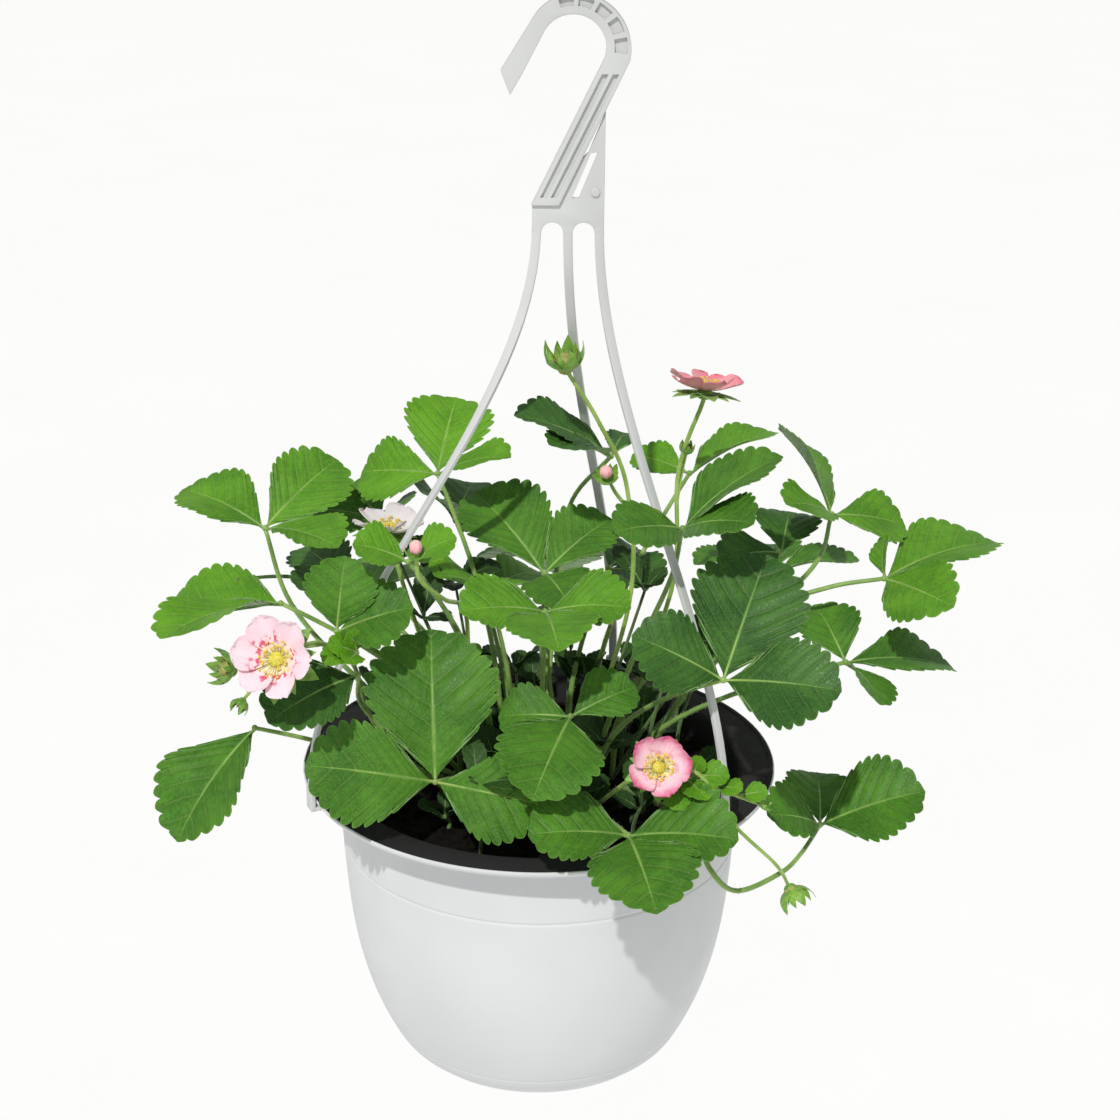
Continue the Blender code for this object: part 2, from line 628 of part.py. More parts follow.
def stalk_path(leaf):
    hub, root = Vector(leaf.hub), root_of(leaf)
    if leaf.via:
        return rising(root, (*leaf.via, hub), STALK_POINTS + len(leaf.via))
    surface = soil_height(root.x, root.y)
    start = Vector((root.x, root.y, surface + STALK_FREE))
    rise = hub.z - start.z
    outward = Vector((hub.x - root.x, hub.y - root.y, 0))
    return [Vector((root.x, root.y, surface - HOLE_DEPTH + 1)),
            *bezier(start, start + Vector((0, 0, 0.5 * rise)),
                    hub - outward * 0.4 - Vector((0, 0, 0.2 * rise)), hub, STALK_POINTS)]


def make_leaf(leaf):
    hub = Vector(leaf.hub)
    pieces = [tube("stalk", stalk_path(leaf), STALK_RADIUS * 1.1, STALK_RADIUS * 0.8)]
    pieces.append(ball("hub", hub, (HUB_RADIUS, HUB_RADIUS, HUB_RADIUS)))
    faces = leaf.faces * (len(leaf.tips) // len(leaf.faces))
    for i, (tip, face) in enumerate(zip(leaf.tips, faces)):
        inner_side = 0
        if i:
            middle = Vector(leaf.tips[0])
            inner_side = 1 if Vector(face).cross(Vector(tip)).dot(middle) > 0 else -1
        pieces.append(leaflet(f"leaflet_{i}", hub, tip, face, leaf.ratio, inner_side))
    return fused(leaf.name, pieces)


def facing(middle, face):
    """A frame at the middle with its own +Z along face."""
    return Matrix.Translation(middle) @ Vector(face).to_track_quat("Z", "Y").to_matrix().to_4x4()


def calyx(name, middle, face, radius, closing):
    """A star of pointed lobes round the stalk's end, tips raised by the closing angle."""
    frame = facing(middle, face)
    rise = math.radians(closing)
    points = [Vector((0, 0, 0))]
    lobes = LARGE_LOBES if radius > 8 else SMALL_LOBES
    for i in range(2 * lobes):
        angle = math.pi * i / lobes
        reach = 0.42 * radius if i % 2 else radius * (1.0 if i % 4 else 0.86)
        lift = reach * math.sin(rise) * reach / radius
        out = reach * math.cos(rise * reach / radius)
        points.append(Vector((out * math.cos(angle), out * math.sin(angle), lift)))
    triangles = [(0, i + 1, (i + 1) % (2 * lobes) + 1) for i in range(2 * lobes)]
    return sheet(name, [frame @ p for p in points], triangles, PETAL_THICK)


def petal(name, flower, index):
    """One broad cupped petal, turned a little about its own axis so that neighbours overlap."""
    turn = Matrix.Rotation(2 * math.pi * index / flower.petals, 4, "Z")
    rise = Matrix.Rotation(-math.radians(flower.rise), 4, "Y")
    roll = Matrix.Rotation(math.radians(9), 4, "X")
    frame = facing(flower.middle, flower.face) @ Matrix.Translation((0, 0, 0.6)) @ turn @ rise @ roll
    radius = flower.radius
    half = 0.98 * math.pi * radius * 0.62 / flower.petals
    ridge = [Vector((radius * s, 0, radius * 0.16 * s * s)) for s in (0.12, 0.5, 1.0)]
    rim = []
    for s, width in ((0.35, 0.6), (0.7, 1.0), (0.95, 0.66)):
        rim.append((radius * s, half * width, radius * (0.16 * s * s + 0.12 * width * width)))
    points = [*ridge]
    points += [Vector((x, y, z)) for x, y, z in rim] + [Vector((x, -y, z)) for x, y, z in rim]
    one_side = [(0, 1, 3), (1, 4, 3), (1, 2, 4), (2, 5, 4)]
    other = [tuple(v + 3 if v > 2 else v for v in reversed(face)) for face in one_side]
    return sheet(name, [frame @ p for p in points], one_side + other, PETAL_THICK)


def disc(name, middle, face, radius, low, high, steps=6):
    frame = facing(middle, face)
    bm = bmesh.new()
    bmesh.ops.create_cone(bm, cap_ends=True, segments=steps, radius1=radius, radius2=radius, depth=high - low)
    bmesh.ops.transform(bm, matrix=frame @ Matrix.Translation((0, 0, (high + low) / 2)), verts=bm.verts)
    mesh = bpy.data.meshes.new(name)
    bm.to_mesh(mesh)
    bm.free()
    return add_object(name, mesh)


def make_petals(flower):
    pieces = [disc("middle", flower.middle, flower.face, PETAL_DISC, -0.1, PETAL_TOP)]
    pieces += [petal(f"petal_{i}", flower, i) for i in range(flower.petals)]
    return fused(f"petals_{flower.name}", pieces)


def make_stamens(flower):
    """The yellow middle: a short core ringed by stamens."""
    frame = facing(flower.middle, flower.face)
    base = PETAL_TOP + GAP
    pieces = [disc("receptacle", flower.middle, flower.face, 3.0, base, base + 2.4)]
    for i in range(STAMENS):
        turn = Matrix.Rotation(2 * math.pi * i / STAMENS, 4, "Z")
        ends = [frame @ turn @ Vector((2.0, 0, base + 1.2)), frame @ turn @ Vector((4.6, 0, base + 3.8))]
        pieces.append(tube(f"stamen_{i}", ends, 0.55, 0.8))
    return fused(f"stamens_{flower.name}", pieces)


def truss_root(truss):
    return Vector(truss.main[0])


def make_truss(truss):
    backs = [Vector(f.middle) - Vector(f.face).normalized() * CALYX_DROP for f in truss.flowers]
    path = rising(truss_root(truss), (*truss.main[1:], *backs), 2 * len(truss.main) - 1)
    pieces = [tube("main", path, FLOWER_STALK_RADIUS * 1.1, FLOWER_STALK_RADIUS)]
    for i, (start, *route) in enumerate(truss.sides):
        fork = nearest_on(path, Vector(start))
        pieces.append(tube(f"side_{i}", smooth_path((fork, *route), 2 * len(route) + 1), FLOWER_STALK_RADIUS, 0.8))
    for i, (flower, back) in enumerate(zip(truss.flowers, backs)):
        pieces.append(calyx(f"calyx_{i}", back, flower.face, flower.radius * 0.9, -6))
        pieces.append(disc(f"cup_{i}", back, flower.face, 3.0, -2.0, 0.8))
    pieces += [calyx(f"head_{i}", *head) for i, head in enumerate(truss.calyxes)]
    return fused(truss.name, pieces)


def nearest_on(path, target):
    """The point of a polyline that is nearest to the target."""
    feet = []
    for a, b in zip(path, path[1:]):
        share = (target - a).dot(b - a) / (b - a).length_squared
        feet.append(a.lerp(b, min(max(share, 0), 1)))
    return min(feet, key=lambda foot: (foot - target).length)


def make_bud(bud, around):
    """A bud's petals, clear of the lobes of the calyx round them."""
    lift = 1.0 + 1.6 * bud.radius
    middle = facing(around.middle, around.face) @ Vector((0, 0, lift))
    return ball(f"bud_{bud.name}", middle, (bud.radius, bud.radius, bud.radius * 1.2), 8, 6)


def main():
    clear_scene()
    materials = {name: make_material(name) for name in MATERIALS}
    nodes = [(make_pot(), "white_plastic"), (make_hanger(), "white_plastic")]
    roots = [(root_of(leaf), STALK_RADIUS * 1.1) for leaf in LEAVES]
    roots += [(truss_root(truss), FLOWER_STALK_RADIUS * 1.1) for truss in TRUSSES]
    nodes.append((make_soil(roots), "soil"))
    nodes += [(make_leaf(leaf), "leaf") for leaf in LEAVES]
    for truss in TRUSSES:
        nodes.append((make_truss(truss), "calyx"))
        nodes += [(make_petals(flower), "petal") for flower in truss.flowers]
        nodes += [(make_stamens(flower), "pollen") for flower in truss.flowers]
        nodes += [(make_bud(bud, truss.calyxes[bud.calyx]), "petal") for bud in truss.buds]
    collection = bpy.data.collections.new("potted_strawberry_plant")
    bpy.context.scene.collection.children.link(collection)
    rim_centre = bpy.data.objects.new("rim_centre", None)
    rim_centre.location = Vector((-SEAT_X, 0, -SEAT_Z)) * MM
    collection.objects.link(rim_centre)
    for obj, material in nodes:
        bpy.context.scene.collection.objects.unlink(obj)
        collection.objects.link(obj)
        obj.data.transform(Matrix.Scale(MM, 4))
        obj.data.materials.clear()
        obj.data.materials.append(materials[material])
        obj.parent = rim_centre


main()
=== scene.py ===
"""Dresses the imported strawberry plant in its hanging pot.

Shapes are drawn in millimetres from the centre of the pot's rim, with +Z up and -Y to the front, as
the part itself is, and are brought to the row's frame in metres when their object is made. Each
object stands for one CAD node and repeats that node's own values with finer steps.
"""

import math
from collections import namedtuple

import bmesh
import bpy
import numpy as np
from mathutils import Matrix, Vector


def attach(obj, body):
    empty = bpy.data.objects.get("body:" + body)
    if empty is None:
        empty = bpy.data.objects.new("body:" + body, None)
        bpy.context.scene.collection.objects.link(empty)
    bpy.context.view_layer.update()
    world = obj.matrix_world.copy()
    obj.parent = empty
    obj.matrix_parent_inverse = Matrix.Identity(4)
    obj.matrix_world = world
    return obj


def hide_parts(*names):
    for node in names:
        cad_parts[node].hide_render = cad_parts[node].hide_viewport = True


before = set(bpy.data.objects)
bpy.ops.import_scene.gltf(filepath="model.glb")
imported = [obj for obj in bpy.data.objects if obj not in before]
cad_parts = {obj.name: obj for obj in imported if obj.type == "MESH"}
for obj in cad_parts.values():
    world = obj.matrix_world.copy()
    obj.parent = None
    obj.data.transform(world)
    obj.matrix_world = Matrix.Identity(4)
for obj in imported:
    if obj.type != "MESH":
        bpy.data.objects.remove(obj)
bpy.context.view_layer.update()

MM = 0.001
SEAT_X = 14.0  # the hook's seat, which is the row's origin, from the centre of the rim
SEAT_Z = 392.0
TO_ROW = np.array((-SEAT_X, 0.0, -SEAT_Z))
GAP = 0.3

# Pot and soil
RIM_RADIUS = 125.0
RIM_LIP = 3.4
BEAD_WIDTH = 2.6
BEAD_HEIGHT = 0.8
FLANGE_THICK = 1.8
POT_HEIGHT = 166.0
BASE_RADIUS = 63.0
WALL_THICK = 1.8
FLOOR_THICK = 2.4
WALL = ((107.0, -8), (101.5, -80), (93.0, -121), (80.0, -152), (70.0, -163))
GROOVES = ((-41.0, 0.5), (-149.0, 0.3))  # height and depth of each line round the wall
POT_STEPS = 144
SOIL_TOP = -16.0
SOIL_CROWN = 5.0
SOIL_GAP = 0.8
SOIL_STEPS = 120
CRUMBS = 900
HOLE_DEPTH = 11.0

# Hanger
HOOK_INNER = 15.7
HOOK_BAND = 12.0
HOOK_DEPTH = 6.0
POCKET_DEPTH = 1.9
WEB_DEPTH = 2.4
PLATE_RIGHT = SEAT_X + 16.0
PLATE_TOP = SEAT_Z - 46.0
PLATE_FOOT = SEAT_Z - 99.0
STRAND_WIDTH = 4.6
STRAND_THICK = 2.4
STRAND_TOPS = (-2.9, 12.4, 27.7)
STRAND_AZIMUTHS = (-157, 71, -42)
STRAND_HANDLE = 100.0
STRAND_STEPS = 40
CLIP_WIDTH = 8.0
CLIP_THICK = 2.6
CLIP_TOP = 6.0
CLIP_REACH = 8.0
EDGE_ROUND = 0.45

# Foliage
LEAF_THICK = 0.35
STALK_RADIUS = 1.4
STALK_POINTS = 16
STALK_SIDES = 8
STALK_FREE = 2.5
HAIRS_PER_MM = 2.2
HAIR_LENGTH = 1.5
HAIR_WIDTH = 0.13
LARGE_TEETH = 8
SMALL_TEETH = 6
SMALL_LEAFLET = 46.0
TOOTH_START = 0.2
TOOTH_END = 0.955
NOTCH_DEPTH = 0.068  # how far notches lie inside the even outline, as a share of half the width
TOOTH_DEPTH = 0.06
TOOTH = (  # share of the way from one notch to the next, and how far the edge stands out there
    (0.0, 0.0), (0.1, 0.4), (0.25, 0.7), (0.42, 0.88),
    (0.58, 0.98), (0.7, 1.0), (0.84, 0.8), (0.94, 0.4),
)
TOOTH_PEAK = 0.7
ACROSS = (0.0, 0.05, 0.13, 0.24, 0.37, 0.5, 0.64, 0.78, 0.9, 1.0)
VEIN_LAG = 0.34
RELIEF = 0.008  # height of the quilting between side veins, as a share of the length
WAVE = 0.028
WIDTH_RATIO = 0.84
WIDEST = 0.58
ARCH = math.radians(30.0)
LEAFLET_STALK = 1.2
INNER_LOSS = 0.4
FOLD = math.tan(math.radians(14.0))
FOLD_ROUND = 2.0
YOUNG_LEAVES = 33
YOUNG_SPREAD = 90.0  # how far from the middle of the pot they root
YOUNG_REACH = 100.0
YOUNG_HEIGHT = (8.0, 62.0)
YOUNG_LENGTH = (16.0, 32.0)
YOUNG_TALL = (
    (-60, -10, 85), (-45, 25, 89), (0, 10, 64),
    (55, 20, 89), (83, -10, 68), (-75, 30, 101),
)
YOUNG_TEETH = 5
YOUNG_ACROSS = (0.0, 0.13, 0.5, 1.0)
BRACT_TEETH = 4
BRACTS = (  # root, tip from there, and the upper side's direction
    ((74, -95, 38), (20, -6, 3), (0.1, -0.6, 0.8)),
    ((76, -94, 38), (4, -3, 12), (-0.2, -0.9, 0.3)),
    ((88, -98, 34), (12, -9, 3), (0, -0.5, 0.85)),
    ((99, -97, 29), (14, -4, 4), (0, -0.6, 0.8)),
    ((72, -95, 37), (11, -19, -2), (0.1, -0.5, 0.9)),
    ((67, -93, 37), (4, -19, -9), (-0.3, -0.5, 0.8)),
    ((-90, -58, 86), (-3, -3, 14), (0.2, -0.9, 0.4)),
    ((-90, -58, 86), (-14, -10, 9), (0, -0.6, 0.8)),
    ((-90, -58, 86), (-16, -16, 2), (0, -0.4, 0.9)),
    ((-90, -58, 86), (-4, -17, 2), (0.2, -0.4, 0.9)),
)
BARE_STALK = ((-104, 54, 77), (-136, 34, 89), (-160, 22, 92))

Leaf = namedtuple("Leaf", "name tone hub tips faces via ratio", defaults=((), WIDTH_RATIO))
# Each leaf's tone is partly its own green and partly painted light and shade for how lit it stands.
LEAVES = (
    Leaf("front_left", "mid", (-51, -78, 25), ((-4, 46, 63), (-64, -9, 13), (57, -13, -7)),
         ((0, -0.8, 0.6),)),
    Leaf("left_droop", "mid", (-146, -35, 33), ((-36, -40, -45),), ((-0.5, -0.5, 0.7),),
         ((-90, -18, 10), (-122, -24, 22))),
    Leaf("top_left", "bright", (-144, 20, 122), ((-46, 24, 12), (35, 40, 24), (41, -32, 2)),
         ((0.12, -0.25, 0.96), (0, -0.6, 0.8), (-0.02, 0.03, 1)), ((-98, 10, 42), (-131, 14, 82))),
    Leaf("far_left", "young", (-134, -5, 90), ((-67, 31, -22), (-54, -53, 3)),
         ((-0.35, -0.1, 0.93), (-0.09, 0.15, 0.98)), (), 0.74),
    Leaf("left_mid", "mid", (-101, -50, 94), ((4, 12, 36), (39, -6, 16)), ((0, -0.9, 0.45), (0, -0.6, 0.8)),
         (), 0.95),
    Leaf("under_flower", "dark", (-90, -60, 75), ((-42, -29, -13),), ((-0.1, -0.45, 0.9),),
         ((-64, -36, 20), (-89, -45, 50)), 0.95),
    Leaf("top_mid", "young", (-55, 45, 144), ((8, 47, 27), (-42, 23, -8), (39, -15, 15)),
         ((0, -0.7, 0.7), (0, -0.7, 0.7), (-0.37, 0.02, 0.93))),
    Leaf("centre_high", "mid", (2, 15, 100), ((14, -43, -2), (-38, 40, 30), (35, 24, 22)),
         ((0, -0.4, 0.9),)),
    Leaf("centre_mid", "bright", (3, -50, 106), ((7, -53, 2), (-42, -20, 8), (42, -18, 10)),
         ((0, -0.4, 0.9),)),
    Leaf("centre_low", "mid", (16, -70, 58), ((-18, -56, -18), (-36, 7, -4), (33, 14, 10)),
         ((0, -0.6, 0.8),)),
    Leaf("front_rim", "mid", (45, -108, 12), ((12, -60, -9), (-49, -17, 9), (52, -22, 10)),
         ((0, -0.5, 0.85),)),
    Leaf("right_big", "dark", (90, -88, 87), ((22, 38, 51), (-45, -4, 25), (55, -22, 5)), ((0, -0.7, 0.7),)),
    Leaf("right_mid", "mid", (159, -10, 62), ((-14, 34, 18), (58, 16, -9), (14, -36, -7)),
         ((0.1, -0.7, 0.7), (0.16, -0.04, 0.99), (0.57, 0.06, 0.82))),
    Leaf("far_right", "bright", (179, 10, 101), ((62, 25, 11), (30, -42, 2), (1, 12, 20)),
         ((-0.17, 0, 0.98), (0, -0.8, 0.6), (-0.93, -0.29, 0.22)),
         ((80, 5, 42), (118, 8, 82), (150, 9, 96))),
    Leaf("top_right", "bright", (153, 35, 127), ((-26, 41, 33), (41, 13, -11), (-27, -28, 16)),
         ((0.79, 0.03, 0.61), (0, -0.5, 0.85), (0.51, -0.01, 0.86)), ((100, 22, 55), (144, 32, 98))),
    Leaf("upper_right", "mid", (70, -50, 151), ((49, 14, 33), (-34, -26, 8), (32, -34, 16)),
         ((-0.55, -0.06, 0.84), (0, -0.5, 0.85), (0.1, -0.5, 0.85)), ((46, -18, 60), (66, -22, 112))),
    Leaf("back_right", "young", (80, 80, 133), ((48, 20, 17), (-31, 15, 5)),
         ((-0.35, 0.06, 0.93), (0, -0.4, 0.9))),
    Leaf("right_inner", "dark", (126, 20, 111), ((7, 40, 8), (-34, -24, 5)), ((0, -0.5, 0.85),)),
    Leaf("back_arched", "dark", (36, 27, 161), ((-50, -15, 27), (8, 29, 3), (-32, -34, 18)),
         ((0, -0.2, 0.95),), ((4, 26, 40), (8, 50, 85), (16, 56, 125)), 0.62),
    Leaf("left_back", "mid", (-86, 60, 112), ((-39, -10, 9), (-22, 30, 8), (11, -32, 18)),
         ((0, -0.5, 0.85),)),
    Leaf("left_bud", "young", (-65, -45, 130), ((-27, -5, 11), (24, 0, 13)), ((0, -0.35, 0.94),), (), 1.05),
    Leaf("mid_pale", "young", (-28, 25, 86), ((-26, -30, 20), (26, 35, -3)), ((0, -0.3, 0.95),)),
    Leaf("back_dark", "dark", (-47, 75, 106), ((-16, -30, 27), (8, 42, 7), (25, -26, 5)), ((0, -0.4, 0.9),)),
    Leaf("low_right", "mid", (146, -46, -14), ((52, -6, 23), (-30, -26, 19), (2, 42, 9)),
         ((0.1, -0.5, 0.85),),
         ((76, -86, 8), (85, -107, -6), (99, -105, -20), (122, -87, -20), (134, -70, -18))),
    Leaf("back_low", "mid", (11, 130, 61), ((0, 46, -28), (-52, 5, -3), (52, 5, -1)), ((0, 0.3, 0.95),)),
    Leaf("back_left", "mid", (-91, 110, 52), ((-32, 43, -5), (-25, -40, 1), (33, 30, -3)),
         ((0, 0.2, 0.95),)),
    Leaf("back_right_low", "mid", (131, 100, 68), ((47, 3, 6), (-47, -15, 10), (1, 44, -1)),
         ((0, 0.1, 0.95),)),
    Leaf("left_shade", "dark", (-106, 55, 76), ((-26, 34, 8), (-21, -34, 11)), ((0, -0.3, 0.95),)),
    Leaf("centre_shade", "dark", (36, 50, 89), ((28, -26, 2), (19, 37, -4)), ((0, -0.3, 0.95),)),
)

Flower = namedtuple("Flower", "name middle face radius rise petals")
Calyx = namedtuple("Calyx", "middle face radius closing spent", defaults=(True,))
Bud = namedtuple("Bud", "name radius calyx")
Truss = namedtuple("Truss", "name main sides flowers calyxes buds")
TRUSSES = (
    Truss("truss_left",
          ((-40, -34, 0), (-82, -38, 34), (-94, -44, 74), (-108, -60, 92), (-119, -84, 99)),
          (((-106, -60, 90), (-128, -66, 90), (-150, -76, 84)),
           ((-114, -70, 93), (-132, -76, 84), (-145, -80, 70))),
          (Flower("left", (-125, -96, 99), (-0.2, -0.85, 0.5), 25, 18, 6),),
          (Calyx((-150, -76, 84), (-0.8, -0.4, 0.4), 14, 50),
           Calyx((-145, -80, 70), (-0.4, -0.5, -0.7), 8, 60)),
          ()),
    Truss("truss_right",
          ((24, -46, 0), (42, -82, 26), (55, -91, 40)),
          (((50, -88, 36), (77, -102, 44), (97, -104, 16), (119, -96, -10), (127, -91, -26)),
           ((52, -88, 37), (70, -93, 38), (86, -98, 34), (110, -97, 24))),
          (Flower("right", (59, -100, 45), (0.05, -0.85, 0.55), 20, 24, 5),),
          (Calyx((127, -91, -26), (0.5, -0.3, -0.8), 14, 50),
           Calyx((86, -98, 34), (-0.3, -0.2, 0.9), 6, 50, False),
           Calyx((110, -97, 24), (0.8, -0.2, 0.4), 6, 50, False)),
          ()),
    Truss("truss_back",
          ((34, 20, 0), (68, 12, 90), (71, 26, 152), (82, 21, 192)),
          (((68, 24, 138), (73, 29, 152), (75, 28, 163)),),
          (Flower("back", (83, 20, 199), (0.1, 0.2, 1), 22, 12, 5),),
          (Calyx((75, 28, 163), (0.1, -0.2, 1), 7, 60),),
          ()),
    Truss("truss_shade",
          ((-26, -8, 0), (-58, -4, 60), (-77, 4, 119)),
          (),
          (Flower("shade", (-79, 5, 126), (0.05, 0.05, 1), 21, 14, 5),),
          (),
          ()),
    Truss("truss_bud",
          ((-30, -26, 0), (-36, -20, 60), (-38, -26, 96), (-47, -50, 112), (-58, -62, 127), (-60, -64, 140)),
          (),
          (),
          (Calyx((-60, -64, 140), (0, -0.3, 1), 7.5, 45, False),),
          (Bud("pink", 3.3, 0),)),
    Truss("truss_high",
          ((18, -10, 0), (46, -2, 90), (44, 3, 152), (29, 2, 188), (12, -2, 217)),
          (((46, 1, 140), (38, -6, 153), (34, -7, 161)),),
          (),
          (Calyx((34, -7, 161), (-0.2, -0.6, 0.8), 9, 40, False),
           Calyx((12, -2, 217), (-0.1, -0.1, 1), 17, 55)),
          (Bud("opening", 3.3, 0),)),
)
FLOWER_STALK_RADIUS = 1.1
PETAL_THICK = 0.3
PETAL_TOP = 2.4
CALYX_DROP = 1.4
STAMENS = 34
PISTILS = 70
GOLDEN_ANGLE = math.pi * (3 - math.sqrt(5))

# First number of each kind of random draw
LEAF_SEED = 100
LEAF_HAIR_SEED = 200
CALYX_SEED = 300
TRUSS_HAIR_SEED = 400
SIDE_HAIR_SEED = 420
PETAL_SEED = 500
STAMEN_SEED = 600
YOUNG_SEED = 900
BRACT_SEED = 950
SOIL_SWELL_SEED = 7
SOIL_RIPPLE_SEED = 8
CRUMB_SEED = 9

# Camera and light
CAMERA_PLACE = (-0.0039, -1.163, 0.1889)
CAMERA_PITCH = 21.89  # degrees below level
CAMERA_ROLL = 0.56
CAMERA_LENS = 78.2
FLOOR_HEIGHT = -1.75
FLOOR_SIZE = 60
SUN_TRAVEL = (0.3, 1.0, -1.2)
SUN_STRENGTH = 2.5
SUN_ANGLE = 1.5  # degrees across, which sets how soft the shadows' edges are
SUN_COLOUR = (1.0, 0.985, 0.955)
SKY_COLOUR = (0.97, 0.985, 1.0, 1.0)
SKY_STRENGTH = 0.5


# ---------------------------------------------------------------- surfaces


class Shape:
    """Gathers surfaces for one mesh object.

    A kind is the place of a surface's material in the object's list.
    """

    def __init__(self):
        self.points, self.uvs, self.faces, self.kinds = [], [], [], []
        self.count = 0

    def _take(self, points, uvs):
        first = self.count
        self.points.append(points)
        self.uvs.append(uvs)
        self.count += len(points)
        return first

    def grid(self, points, kind, uv=None, closed=False, flip=False):
        """A surface through rows and columns of points, facing along rows x columns unless flipped."""
        rows, columns = points.shape[:2]
        if uv is None:
            down, over = np.linspace(0, 1, rows), np.linspace(0, 1, columns)
            uv = np.stack(np.meshgrid(down, over, indexing="ij"), -1)
        first = self._take(points.reshape(-1, 3), uv.reshape(-1, 2))
        index = np.arange(rows * columns).reshape(rows, columns) + first
        if closed:
            index = np.hstack([index, index[:, :1]])
        corners = [index[:-1, :-1], index[1:, :-1], index[1:, 1:], index[:-1, 1:]]
        quads = np.stack(corners, -1).reshape(-1, 4)
        if flip:
            quads = quads[:, ::-1]
        self.faces += quads.tolist()
        self.kinds += [kind] * len(quads)

    def triangles(self, points, kind):
        """Loose triangles, three points each."""
        first = self._take(points, np.zeros((len(points), 2)))
        faces = np.arange(len(points)).reshape(-1, 3) + first
        self.faces += faces.tolist()
        self.kinds += [kind] * len(faces)

    def sheet(self, points, thickness, top, under, uv=None):
        """A thin closed sheet whose upper side is the grid of points."""
        lower = points - normals_of(points) * thickness
        self.grid(points, top, uv)
        self.grid(lower, under, uv, flip=True)
        if uv is None:
            uv = np.zeros((*points.shape[:2], 2))
        border = border_of(points)
        edges = np.stack([border, border_of(lower)], 1)
        edge_uv = np.stack([border_of(uv), border_of(uv)], 1)
        self.grid(edges, top, edge_uv)

    def tube(self, path, radii, kind, sides=STALK_SIDES):
        """A round stalk along a path, closed at both ends by a narrow last ring."""
        path = np.asarray(path, float)
        radii = np.broadcast_to(np.asarray(radii, float), len(path)).copy()
        path = np.vstack([path[:1], path, path[-1:]])
        radii = np.concatenate([[0.02], radii, [0.02]])
        tangent = np.gradient(path, axis=0)
        tangent[:1], tangent[-1:] = tangent[2], tangent[-3]
        tangent /= np.linalg.norm(tangent, axis=1)[:, None] + 1e-9
        side = np.cross(tangent[0], (0.31, 0.87, 0.38))
        rings = []
        angles = np.linspace(0, 2 * np.pi, sides, endpoint=False)
        for point, along, radius in zip(path, tangent, radii):
            side = side - along * side.dot(along)
            side /= np.linalg.norm(side)
            other = np.cross(along, side)
            ring = np.cos(angles)[:, None] * side + np.sin(angles)[:, None] * other
            rings.append(point + radius * ring)
        self.grid(np.array(rings), kind, closed=True, flip=True)

    def hairs(self, path, radii, kind, seed, per_mm=HAIRS_PER_MM, length=HAIR_LENGTH):
        """Fine spikes standing out from a stalk, each one thin triangle."""
        path = np.asarray(path, float)
        steps = np.linalg.norm(np.diff(path, axis=0), axis=1)
        places = np.concatenate([[0], np.cumsum(steps)])
        count = int(places[-1] * per_mm)
        draw = np.random.default_rng(seed)
        at = draw.uniform(0, places[-1], count)

        def point_at(place):
            return np.stack([np.interp(place, places, path[:, i]) for i in range(3)], -1)

        base = point_at(at)
        radius = np.interp(at, places, np.broadcast_to(radii, len(path)))
        along = point_at(np.minimum(at + 1, places[-1])) - point_at(np.maximum(at - 1, 0))
        along /= np.linalg.norm(along, axis=1)[:, None]
        out = np.cross(along, draw.normal(size=(count, 3)))
        out /= np.linalg.norm(out, axis=1)[:, None]
        width = along * HAIR_WIDTH / 2
        lean = draw.uniform(-0.3, 0.3, (count, 1))
        reach = (out + along * lean) * length * draw.uniform(0.5, 1.1, (count, 1))
        foot = base + out * radius[:, None] * 0.9
        self.triangles(np.stack([foot - width, foot + width, foot + reach], 1).reshape(-1, 3), kind)

    def ball(self, middle, radii, kind, frame_=None, around=10, rings=7, bumps=None):
        """An ellipsoid, or one whose surface a function of its angles moves in and out."""
        polar = np.linspace(0.02, np.pi - 0.02, rings)[:, None]
        angle = np.linspace(0, 2 * np.pi, around, endpoint=False)[None, :]
        size = 1.0 if bumps is None else bumps(polar, angle)
        local = np.stack([
            radii[0] * size * np.sin(polar) * np.cos(angle),
            radii[1] * size * np.sin(polar) * np.sin(angle),
            radii[2] * size * np.cos(polar) * np.ones_like(angle),
        ], -1)
        if frame_ is not None:
            local = local @ frame_.T
        self.grid(local + np.asarray(middle, float), kind, closed=True)

    def make(self, name, materials, slot, *nodes, sharp=None):
        """The object, in metres in the row's frame. It rides on the body and stands for its CAD nodes."""
        mesh = bpy.data.meshes.new(name)
        points = (np.concatenate(self.points) + TO_ROW) * MM
        mesh.from_pydata(points.tolist(), [], self.faces)
        for material in materials:
            mesh.materials.append(material)
        mesh.polygons.foreach_set("material_index", self.kinds)
        corners = np.empty(len(mesh.loops), np.int32)
        mesh.loops.foreach_get("vertex_index", corners)
        layer = mesh.uv_layers.new(name="UVMap")
        layer.data.foreach_set("uv", np.concatenate(self.uvs)[corners].astype(np.float32).ravel())
        mesh.shade_smooth()
        if sharp is not None:
            mesh.set_sharp_from_angle(angle=math.radians(sharp))
        mesh.update()
        return dress(bpy.data.objects.new(name, mesh), slot, *nodes)


def link(obj):
    bpy.context.scene.collection.objects.link(obj)


def dress(obj, slot, *nodes):
    """Puts the object on the body and in place of its CAD nodes."""
    if obj.name not in bpy.context.scene.collection.objects:
        link(obj)
    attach(obj, "root")
    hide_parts(*nodes)
    return obj


def normals_of(points):
    normal = np.cross(np.gradient(points, axis=0), np.gradient(points, axis=1))
    size = np.linalg.norm(normal, axis=-1, keepdims=True)
    mean = normal.reshape(-1, 3).sum(0)
    mean /= np.linalg.norm(mean)
    return np.where(size > 1e-6, normal / np.maximum(size, 1e-6), mean)


def border_of(grid):
    """The grid's outer points in order, all the way round and back to the first."""
    return np.concatenate([grid[:, 0], grid[-1, 1:], grid[-2::-1, -1], grid[0, -2::-1]])


def pick(materials, *names):
    return [materials[name] for name in names]


def unit(vector):
    vector = np.asarray(vector, float)
    return vector / np.linalg.norm(vector)


